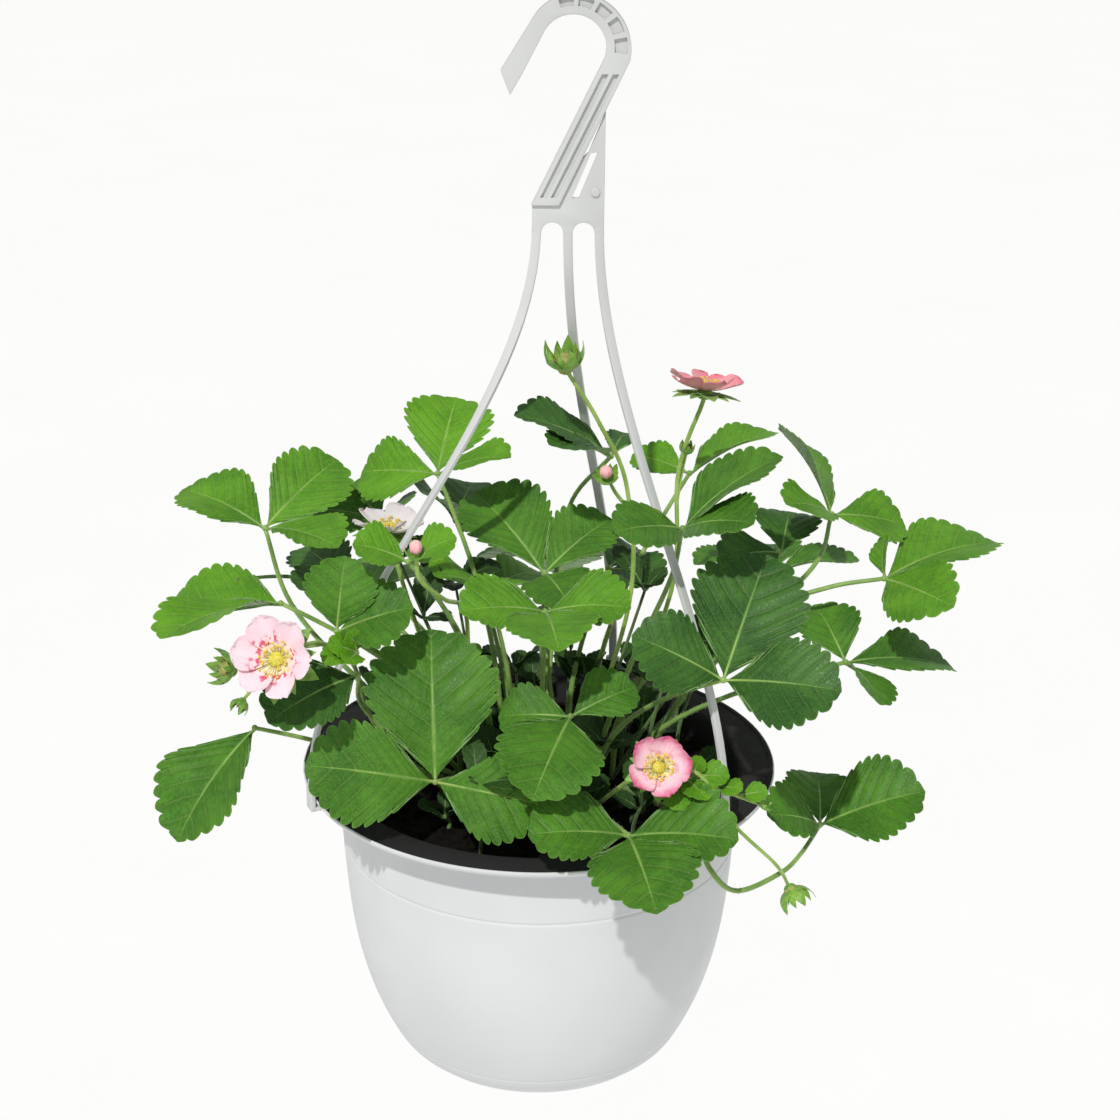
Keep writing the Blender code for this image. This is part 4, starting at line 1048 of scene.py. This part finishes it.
def grooved(line):
    """Presses the moulded lines into the wall."""
    shaped = []
    for radius, height in line:
        for middle, depth in GROOVES:
            radius -= depth * math.exp(-(((height - middle) / 0.7) ** 2))
        shaped.append((radius, height))
    return shaped


def make_pot(materials):
    flange_top = -BEAD_HEIGHT
    underside = flange_top - FLANGE_THICK
    floor = FLOOR_THICK - POT_HEIGHT
    heights = [*np.linspace(-8, -39.2, 12), *np.linspace(-39.6, -42.4, 9), *np.linspace(-43, -147, 34),
               *np.linspace(-147.6, -150.4, 9), *np.linspace(-151, -163, 8)]
    outer = [wall_line(0, z, z, 1)[0] for z in heights]
    white = [
        (RIM_RADIUS - 0.7, 0),
        (RIM_RADIUS - 0.2, -0.2),
        (RIM_RADIUS, -0.7),
        (RIM_RADIUS, -1.3),
        (RIM_RADIUS - 0.7, -2.4),
        (RIM_RADIUS - 1.2, -RIM_LIP + 0.3),
        (RIM_RADIUS - 1.5, -RIM_LIP),
        (RIM_RADIUS - 1.9, -RIM_LIP),
        (RIM_RADIUS - 2.2, -RIM_LIP + 0.3),
        (RIM_RADIUS - 2.6, underside),
        (WALL[0][0] + 2.5, underside),
        (WALL[0][0] + 1.2, underside - 0.7),
        (WALL[0][0] + 0.4, underside - 2.4),
        *grooved(outer),
        (BASE_RADIUS + 3.5, -POT_HEIGHT + 1.2),
        (BASE_RADIUS + 1.0, -POT_HEIGHT + 0.2),
        (BASE_RADIUS - 1.0, -POT_HEIGHT),
        (BASE_RADIUS - 5.0, -POT_HEIGHT),
        (BASE_RADIUS - 6.5, -POT_HEIGHT + 0.9),
        (BASE_RADIUS - 22.0, -POT_HEIGHT + 0.9),
        (0.3, -POT_HEIGHT + 0.9),
    ]
    inner = wall_line(WALL_THICK, -8, floor + 3, 40)
    dark = [
        (0.3, floor),
        (BASE_RADIUS - 2, floor),
        *reversed(inner),
        (WALL[0][0] - 0.9, flange_top - 2.6),
        (WALL[0][0] + 0.2, flange_top - 0.7),
        (WALL[0][0] + 1.5, flange_top),
        (RIM_RADIUS - BEAD_WIDTH - 0.4, flange_top),
        (RIM_RADIUS - BEAD_WIDTH - 0.15, -0.45),
        (RIM_RADIUS - BEAD_WIDTH + 0.15, -0.1),
        (RIM_RADIUS - BEAD_WIDTH + 0.5, 0),
        (RIM_RADIUS - 0.7, 0),
    ]
    shape = Shape()
    lathe(shape, white, POT_STEPS, 0)
    lathe(shape, dark, POT_STEPS, 1)
    used = pick(materials, "pot_white", "pot_inside")
    shape.make("pot_fine", used, "white_plastic", "pot", sharp=40)


def uneven(x, y, seed, size, length):
    """A smooth random height from a few crossed waves."""
    draw = np.random.default_rng(seed)
    total = 0.0
    for _ in range(9):
        angle = draw.uniform(0, 2 * np.pi)
        wave = length * draw.uniform(0.5, 1.6)
        along = x * math.cos(angle) + y * math.sin(angle)
        total = total + np.sin(2 * np.pi * along / wave + draw.uniform(0, 6))
    return size * total / 3


def make_soil(materials):
    inset = WALL_THICK + SOIL_GAP
    floor = FLOOR_THICK - POT_HEIGHT + GAP
    edge = radius_at(SOIL_TOP) - inset
    radius = np.linspace(0.4, edge, 56)[:, None]
    angle = np.linspace(0, 2 * np.pi, SOIL_STEPS, endpoint=False)[None, :]
    x, y = radius * np.cos(angle), radius * np.sin(angle)
    inside = 1 - (radius / edge) ** 12
    swells = uneven(x, y, SOIL_SWELL_SEED, 0.9, 26)
    ripples = uneven(x, y, SOIL_RIPPLE_SEED, 0.5, 7)
    z = soil_height(x, y) + (swells + ripples) * inside
    shape = Shape()
    shape.grid(np.stack([x, y, z], -1), 0, closed=True)
    wall = [(edge, soil_height(edge, 0)), *wall_line(inset, SOIL_TOP - 3, floor + 3, 20),
            (BASE_RADIUS - 5, floor), (0.4, floor)]
    lathe(shape, wall, SOIL_STEPS, 0)
    draw = np.random.default_rng(CRUMB_SEED)
    for _ in range(CRUMBS):
        away = (edge - 3) * math.sqrt(draw.uniform(0, 1))
        turn = draw.uniform(0, 2 * np.pi)
        cx, cy = away * math.cos(turn), away * math.sin(turn)
        size = draw.uniform(0.7, 2.4)
        radii = size * draw.uniform(0.6, 1.1, 3)
        lean = facing(draw.normal(size=3))
        centre = (cx, cy, soil_height(cx, cy) + 0.25 * size)
        lobes, phase = draw.integers(2, 5), draw.uniform(0, 6)
        shape.ball(centre, radii, 0, lean, 7, 5,
                   lambda polar, angle: 1 + 0.22 * np.sin(lobes * angle + phase))
    shape.make("soil_fine", pick(materials, "soil"), "soil", "soil")


# ---------------------------------------------------------------- hanger


def baked(obj):
    """The object's evaluated shape as a plain mesh object, in place of the object itself."""
    bpy.context.view_layer.update()
    graph = bpy.context.evaluated_depsgraph_get()
    mesh = bpy.data.meshes.new_from_object(obj.evaluated_get(graph))
    mesh.transform(obj.matrix_world)
    bm = bmesh.new()
    bm.from_mesh(mesh)
    bmesh.ops.remove_doubles(bm, verts=bm.verts, dist=1e-3)
    bm.to_mesh(mesh)
    bm.free()
    name = obj.name
    bpy.data.objects.remove(obj)
    result = bpy.data.objects.new(name, mesh)
    link(result)
    return result


def standing_plate(name, outline, depth, middle=0.0, rounding=0.0):
    """A flat outline of (x, z) points, as thick as depth, centred on y = middle, with rounded edges."""
    curve = bpy.data.curves.new(name, "CURVE")
    curve.dimensions = "2D"
    curve.fill_mode = "BOTH"
    curve.extrude = depth / 2 - rounding
    curve.bevel_depth = rounding
    curve.bevel_resolution = 2
    curve.offset = -rounding
    spline = curve.splines.new("POLY")
    spline.points.add(len(outline) - 1)
    for target, (x, z) in zip(spline.points, outline):
        target.co = (x, z, 0, 1)
    spline.use_cyclic_u = True
    obj = bpy.data.objects.new(name, curve)
    link(obj)
    obj.rotation_euler.x = math.radians(90)
    obj.location.y = middle
    return baked(obj)


def cut(base, tools):
    """Takes the tools, closed mesh objects that are used up, out of the base."""
    collection = bpy.data.collections.new("tools")
    bpy.context.scene.collection.children.link(collection)
    for tool in tools:
        bpy.context.scene.collection.objects.unlink(tool)
        collection.objects.link(tool)
    boolean = base.modifiers.new("cut", "BOOLEAN")
    boolean.operation = "DIFFERENCE"
    boolean.operand_type = "COLLECTION"
    boolean.collection = collection
    boolean.solver = "MANIFOLD"
    result = baked(base)
    for tool in tools:
        bpy.data.objects.remove(tool)
    bpy.data.collections.remove(collection)
    return result


def arc(middle, radius, start, end, count):
    first, last = radius if isinstance(radius, tuple) else (radius, radius)
    share = np.linspace(0, 1, count)
    angle = np.radians(start + (end - start) * share)
    r = first + (last - first) * share
    xs, zs = middle[0] + r * np.cos(angle), middle[1] + r * np.sin(angle)
    return [(float(x), float(z)) for x, z in zip(xs, zs)]


def hook_outline():
    middle = (SEAT_X, SEAT_Z - HOOK_INNER)
    outer = arc(middle, (HOOK_INNER + HOOK_BAND, HOOK_INNER + 8), 0, 140, 48)
    inner = arc(middle, HOOK_INNER, 150, 0, 48)
    tip = [(SEAT_X - 34.5, SEAT_Z - 27), (SEAT_X - 30, SEAT_Z - 38.5), (SEAT_X - 24.5, SEAT_Z - 29)]
    foot = [(SEAT_X - 19.5, PLATE_FOOT + 7), (SEAT_X - 6.0, PLATE_FOOT + 7)]
    bend = [(SEAT_X + HOOK_INNER - 0.2, middle[1] - 2.5), (SEAT_X + HOOK_INNER - 0.6, middle[1] - 5)]
    outer_bend = [(SEAT_X + HOOK_INNER + HOOK_BAND - 0.5, middle[1] - 6),
                  (SEAT_X + HOOK_INNER + HOOK_BAND - 0.1, middle[1] - 2.5)]
    return [*outer, *tip, *inner, *bend, *foot, *outer_bend]


def plate_outline():
    half = STRAND_WIDTH / 2
    left, back, right = STRAND_TOPS
    foot = PLATE_FOOT - 7
    points = [(PLATE_RIGHT, PLATE_TOP), (SEAT_X + 8, PLATE_TOP - 20), (left - half, PLATE_FOOT + 8)]
    points.append((left - half, foot))
    for a, b in ((left, back), (back, right)):
        points += arc(((a + b) / 2, foot), (b - a) / 2 - half, 180, 0, 22)
    points += [(right + half, foot), (PLATE_RIGHT, PLATE_FOOT)]
    return points


def hook_pockets():
    middle = (SEAT_X, SEAT_Z - HOOK_INNER)
    outlines = []
    for start in range(-6, 114, 24):
        outer_radius = HOOK_INNER + HOOK_BAND - 1.8 - 3.6 * max(start, 0) / 140
        ring = arc(middle, outer_radius, start, start + 18, 9)
        outlines.append(ring + arc(middle, HOOK_INNER + 4.0, start + 18, start, 9))
    slope = (35.0 - 2) / (SEAT_Z - 24 - PLATE_FOOT - 7)
    top, foot = SEAT_Z - 28, PLATE_FOOT + 11
    for inner_offset, outer_offset in ((2.0, 5.2), (7.2, 10.2)):
        outlines.append([(SEAT_X + HOOK_INNER - 1 + offset - (SEAT_Z - 22 - z) * slope, z)
                         for offset, z in ((inner_offset, top), (inner_offset, foot),
                                           (outer_offset, foot), (outer_offset, top))])
    return [standing_plate(f"pocket_{i}_{face}", outline, 2 * POCKET_DEPTH, face * HOOK_DEPTH / 2)
            for i, outline in enumerate(outlines) for face in (-1, 1)]


def strand_grid(top_x, azimuth):
    """Rounded sections of a flat strand, from the plate down to its clip on the rim."""
    angle = math.radians(azimuth)
    outward = np.array((math.cos(angle), math.sin(angle), 0))
    along_rim = np.array((-math.sin(angle), math.cos(angle), 0))
    if along_rim[0] < 0:
        along_rim = -along_rim
    start = np.array((top_x, 0, PLATE_FOOT - 3))
    end = outward * (RIM_RADIUS + GAP + CLIP_THICK / 2) + (0, 0, CLIP_TOP - 2)
    drop = np.array((0, 0, STRAND_HANDLE))
    path = bezier(start, start - drop, end + drop, end, STRAND_STEPS)
    tangents = np.gradient(path, axis=0)
    sections = []
    corner = np.linspace(0, 2 * np.pi, 16, endpoint=False)
    wide_share = np.sign(np.cos(corner)) * np.abs(np.cos(corner)) ** 0.35
    thin_share = np.sign(np.sin(corner)) * np.abs(np.sin(corner)) ** 0.35
    for i, point in enumerate(path):
        tangent = unit(tangents[i])
        share = min(1, 2 * i / (len(path) - 1))
        wide = np.array((1.0, 0, 0)) * (1 - share) + along_rim * share
        wide = unit(wide - tangent * wide.dot(tangent)) * STRAND_WIDTH / 2
        thin = unit(np.cross(tangent, wide)) * STRAND_THICK / 2
        sections.append(point + wide_share[:, None] * wide + thin_share[:, None] * thin)
    return np.array(sections)


def rounded_block(size, matrix):
    bm = bmesh.new()
    bmesh.ops.create_cube(bm, size=1.0)
    bmesh.ops.transform(bm, matrix=Matrix.Diagonal((*size, 1.0)), verts=bm.verts)
    bmesh.ops.bevel(bm, geom=bm.edges, offset=EDGE_ROUND, segments=3, affect="EDGES", profile=0.5)
    bmesh.ops.transform(bm, matrix=matrix, verts=bm.verts)
    mesh = bpy.data.meshes.new("block")
    bm.to_mesh(mesh)
    bm.free()
    return mesh


def clip_blocks(azimuth):
    turn = Matrix.Rotation(math.radians(azimuth), 4, "Z")
    outside = RIM_RADIUS + GAP
    bottom = -RIM_LIP - GAP - 2.2
    height = CLIP_TOP - bottom
    post = turn @ Matrix.Translation((outside + CLIP_THICK / 2, 0, CLIP_TOP - height / 2))
    toe = turn @ Matrix.Translation((outside + CLIP_THICK / 2 - CLIP_REACH / 2, 0, bottom + 1.1))
    return [rounded_block((CLIP_THICK, CLIP_WIDTH, height), post),
            rounded_block((CLIP_REACH + CLIP_THICK - 0.2, CLIP_WIDTH - 0.4, 2.2), toe)]


def make_hanger(materials):
    hook = cut(standing_plate("hook", hook_outline(), HOOK_DEPTH, rounding=EDGE_ROUND), hook_pockets())
    plate = standing_plate("plate", plate_outline(), WEB_DEPTH, rounding=EDGE_ROUND)
    slot = [(SEAT_X + 12.5, PLATE_FOOT + 33), (SEAT_X + 9.2, PLATE_FOOT + 32.5),
            (SEAT_X + 0.2, PLATE_FOOT + 10.5), (SEAT_X + 3.5, PLATE_FOOT + 10.5)]
    plate = cut(plate, [standing_plate("slot", slot, 3 * WEB_DEPTH)])
    round_outline = arc((SEAT_X + 11.6, PLATE_FOOT + 13.5), 2.2, 0, 345, 24)
    boss = standing_plate("boss", round_outline, 4.4, rounding=0.4)
    bm = bmesh.new()
    for piece in (hook, plate, boss):
        bm.from_mesh(piece.data)
        bpy.data.objects.remove(piece)
    for azimuth in STRAND_AZIMUTHS:
        for mesh in clip_blocks(azimuth):
            bm.from_mesh(mesh)
            bpy.data.meshes.remove(mesh)
    for top_x, azimuth in zip(STRAND_TOPS, STRAND_AZIMUTHS):
        rings = [[bm.verts.new(p) for p in ring] for ring in strand_grid(top_x, azimuth)]
        for upper, lower in zip(rings, rings[1:]):
            for i in range(len(upper)):
                j = (i + 1) % len(upper)
                bm.faces.new((upper[i], upper[j], lower[j], lower[i]))
        bm.faces.new(rings[0])
        bm.faces.new(rings[-1])
    bmesh.ops.recalc_face_normals(bm, faces=bm.faces)
    bmesh.ops.translate(bm, vec=TO_ROW, verts=bm.verts)
    bmesh.ops.scale(bm, vec=(MM, MM, MM), verts=bm.verts)
    mesh = bpy.data.meshes.new("hanger_fine")
    bm.to_mesh(mesh)
    bm.free()
    mesh.materials.append(materials["hanger_white"])
    mesh.shade_smooth()
    mesh.set_sharp_from_angle(angle=math.radians(32))
    dress(bpy.data.objects.new("hanger_fine", mesh), "white_plastic", "hanger")


# ---------------------------------------------------------------- stage


LEAF_TONES = {  # deep, light and vein colour, roughness, and how much painted shade darkens the furrows
    # young is the paler green of young leaves. bright, mid and dark are partly each leaf's own green and
    # partly painted light and shade: lighter for sunlit leaves, darker for shaded ones.
    "young": ((0.068, 0.22, 0.008), (0.122, 0.33, 0.012), (0.3, 0.52, 0.08), 0.46, 0.16),
    "bright": ((0.058, 0.19, 0.01), (0.115, 0.31, 0.016), (0.27, 0.47, 0.08), 0.46, 0.24),
    "mid": ((0.036, 0.13, 0.011), (0.08, 0.23, 0.018), (0.21, 0.38, 0.07), 0.45, 0.36),
    "dark": ((0.022, 0.082, 0.013), (0.055, 0.155, 0.022), (0.16, 0.3, 0.07), 0.45, 0.5),
    # inner is painted shade: a much darker copy of the leaf green for the small leaves deep in the plant
    "inner": ((0.012, 0.042, 0.008), (0.032, 0.085, 0.014), (0.1, 0.2, 0.05), 0.5, 0.3),
}


def make_materials():
    made = {f"leaf_{tone}": leaf_material(f"leaf_{tone}", *look) for tone, look in LEAF_TONES.items()}
    made |= {
        "underside": underside_material(),
        "stalk": stalk_material("leaf_stalk", (0.14, 0.27, 0.05), (0.26, 0.42, 0.09), (0.3, 0.2, 0.08)),
        # painted shade: a darker copy of the stalk colours for the stalks deep in the plant
        "shaded_inner_stalk": stalk_material("shaded_inner_stalk", (0.05, 0.11, 0.025), (0.1, 0.19, 0.045),
                                      (0.12, 0.08, 0.03)),
        "truss_stalk": stalk_material("flower_stalk", (0.2, 0.35, 0.05), (0.34, 0.5, 0.1),
                                      (0.36, 0.26, 0.08)),
        "hair": hair_material(),
        "sepal": sepal_material("sepal", (0.09, 0.24, 0.02), (0.22, 0.42, 0.05)),
        "fruit": grain_material("young_fruit", (0.2, 0.26, 0.05), (0.42, 0.36, 0.12), 500.0, 0.6),
        "dry": grain_material("withered_stamen", (0.1, 0.06, 0.025), (0.3, 0.19, 0.08), 500.0, 0.8),
        "anther": grain_material("anther", (0.62, 0.4, 0.03), (0.85, 0.66, 0.1), 800.0, 0.7),
        "pistil": grain_material("pistil", (0.55, 0.5, 0.04), (0.8, 0.72, 0.12), 800.0, 0.6),
        "filament": grain_material("filament", (0.6, 0.6, 0.2), (0.8, 0.76, 0.35), 500.0, 0.6),
        "pot_white": plastic_material("pot_white", (0.66, 0.675, 0.68), (0.6, 0.615, 0.62), 0.36),
        "hanger_white": plastic_material("hanger_white", (0.6, 0.61, 0.605), (0.5, 0.51, 0.505), 0.34),
        "pot_inside": plastic_material("pot_inside", (0.014, 0.0135, 0.0145), (0.024, 0.023, 0.0245),
                                       0.7, 0.25),
        "soil": soil_material(),
    }
    petals = {
        "left": ((0.95, 0.84, 0.6), (0.92, 0.66, 0.73), (0.9, 0.72, 0.78), (0.66, 0.03, 0.14), 0.9),
        "right": ((0.93, 0.86, 0.5), (0.94, 0.62, 0.7), (0.68, 0.08, 0.24), (0.68, 0.06, 0.2), 0.4),
        "back": ((0.9, 0.55, 0.5), (0.8, 0.34, 0.38), (0.72, 0.2, 0.27), (0.6, 0.1, 0.16), 0.3),
        # painted shade: the white petals of the flower in shade are given greyer colours
        "shade": ((0.8, 0.78, 0.68), (0.7, 0.67, 0.66), (0.62, 0.55, 0.58), (0.6, 0.35, 0.4), 0.2),
        "bud": ((0.9, 0.5, 0.5), (0.9, 0.42, 0.46), (0.85, 0.3, 0.36), (0.7, 0.15, 0.2), 0.2),
    }
    for name, (heart, field, edge, blotch, amount) in petals.items():
        upper = f"petal_{name}"
        made[upper] = petal_material(upper, heart, field, edge, blotch, amount)
        if name != "bud":
            under = f"{upper}_under"
            made[under] = petal_material(under, field, field, edge, blotch, 0.0)
    return made


def make_stage():
    bpy.ops.mesh.primitive_grid_add(x_subdivisions=8, y_subdivisions=8, size=FLOOR_SIZE,
                                    location=(0, 8, FLOOR_HEIGHT))
    floor = bpy.context.object
    floor.name = "floor"
    floor.data.materials.append(floor_material())

    sun = bpy.data.lights.new("sun", "SUN")
    sun.energy = SUN_STRENGTH
    sun.angle = math.radians(SUN_ANGLE)
    sun.color = SUN_COLOUR
    lamp = bpy.data.objects.new("sun", sun)
    lamp.rotation_euler = Vector(SUN_TRAVEL).to_track_quat("-Z", "Y").to_euler()
    link(lamp)

    world = bpy.data.worlds.new("studio")
    world.use_nodes = True
    background = world.node_tree.nodes["Background"]
    background.inputs["Color"].default_value = SKY_COLOUR
    background.inputs["Strength"].default_value = SKY_STRENGTH
    bpy.context.scene.world = world

    lens = bpy.data.cameras.new("camera")
    lens.lens = CAMERA_LENS
    lens.sensor_width = 36.0
    lens.clip_end = 100.0
    camera = bpy.data.objects.new("camera", lens)
    pitch = Matrix.Rotation(math.radians(90 - CAMERA_PITCH), 4, "X")
    roll = Matrix.Rotation(math.radians(CAMERA_ROLL), 4, "Z")
    camera.matrix_world = Matrix.Translation(CAMERA_PLACE) @ pitch @ roll
    link(camera)
    bpy.context.scene.camera = camera
    bpy.context.scene.view_settings.view_transform = "Standard"


def main():
    materials = make_materials()
    make_pot(materials)
    make_soil(materials)
    make_hanger(materials)
    for number, leaf in enumerate(LEAVES):
        make_leaf(leaf, number, materials)
    make_young_leaves(materials)
    make_bracts(materials)
    flowers = 0
    for number, truss in enumerate(TRUSSES):
        make_truss(truss, number, materials)
        for flower in truss.flowers:
            make_petals(flower, flowers, materials)
            make_stamens(flower, flowers, materials)
            flowers += 1
        for bud in truss.buds:
            make_bud(bud, truss.calyxes[bud.calyx], materials)
    make_stage()


main()
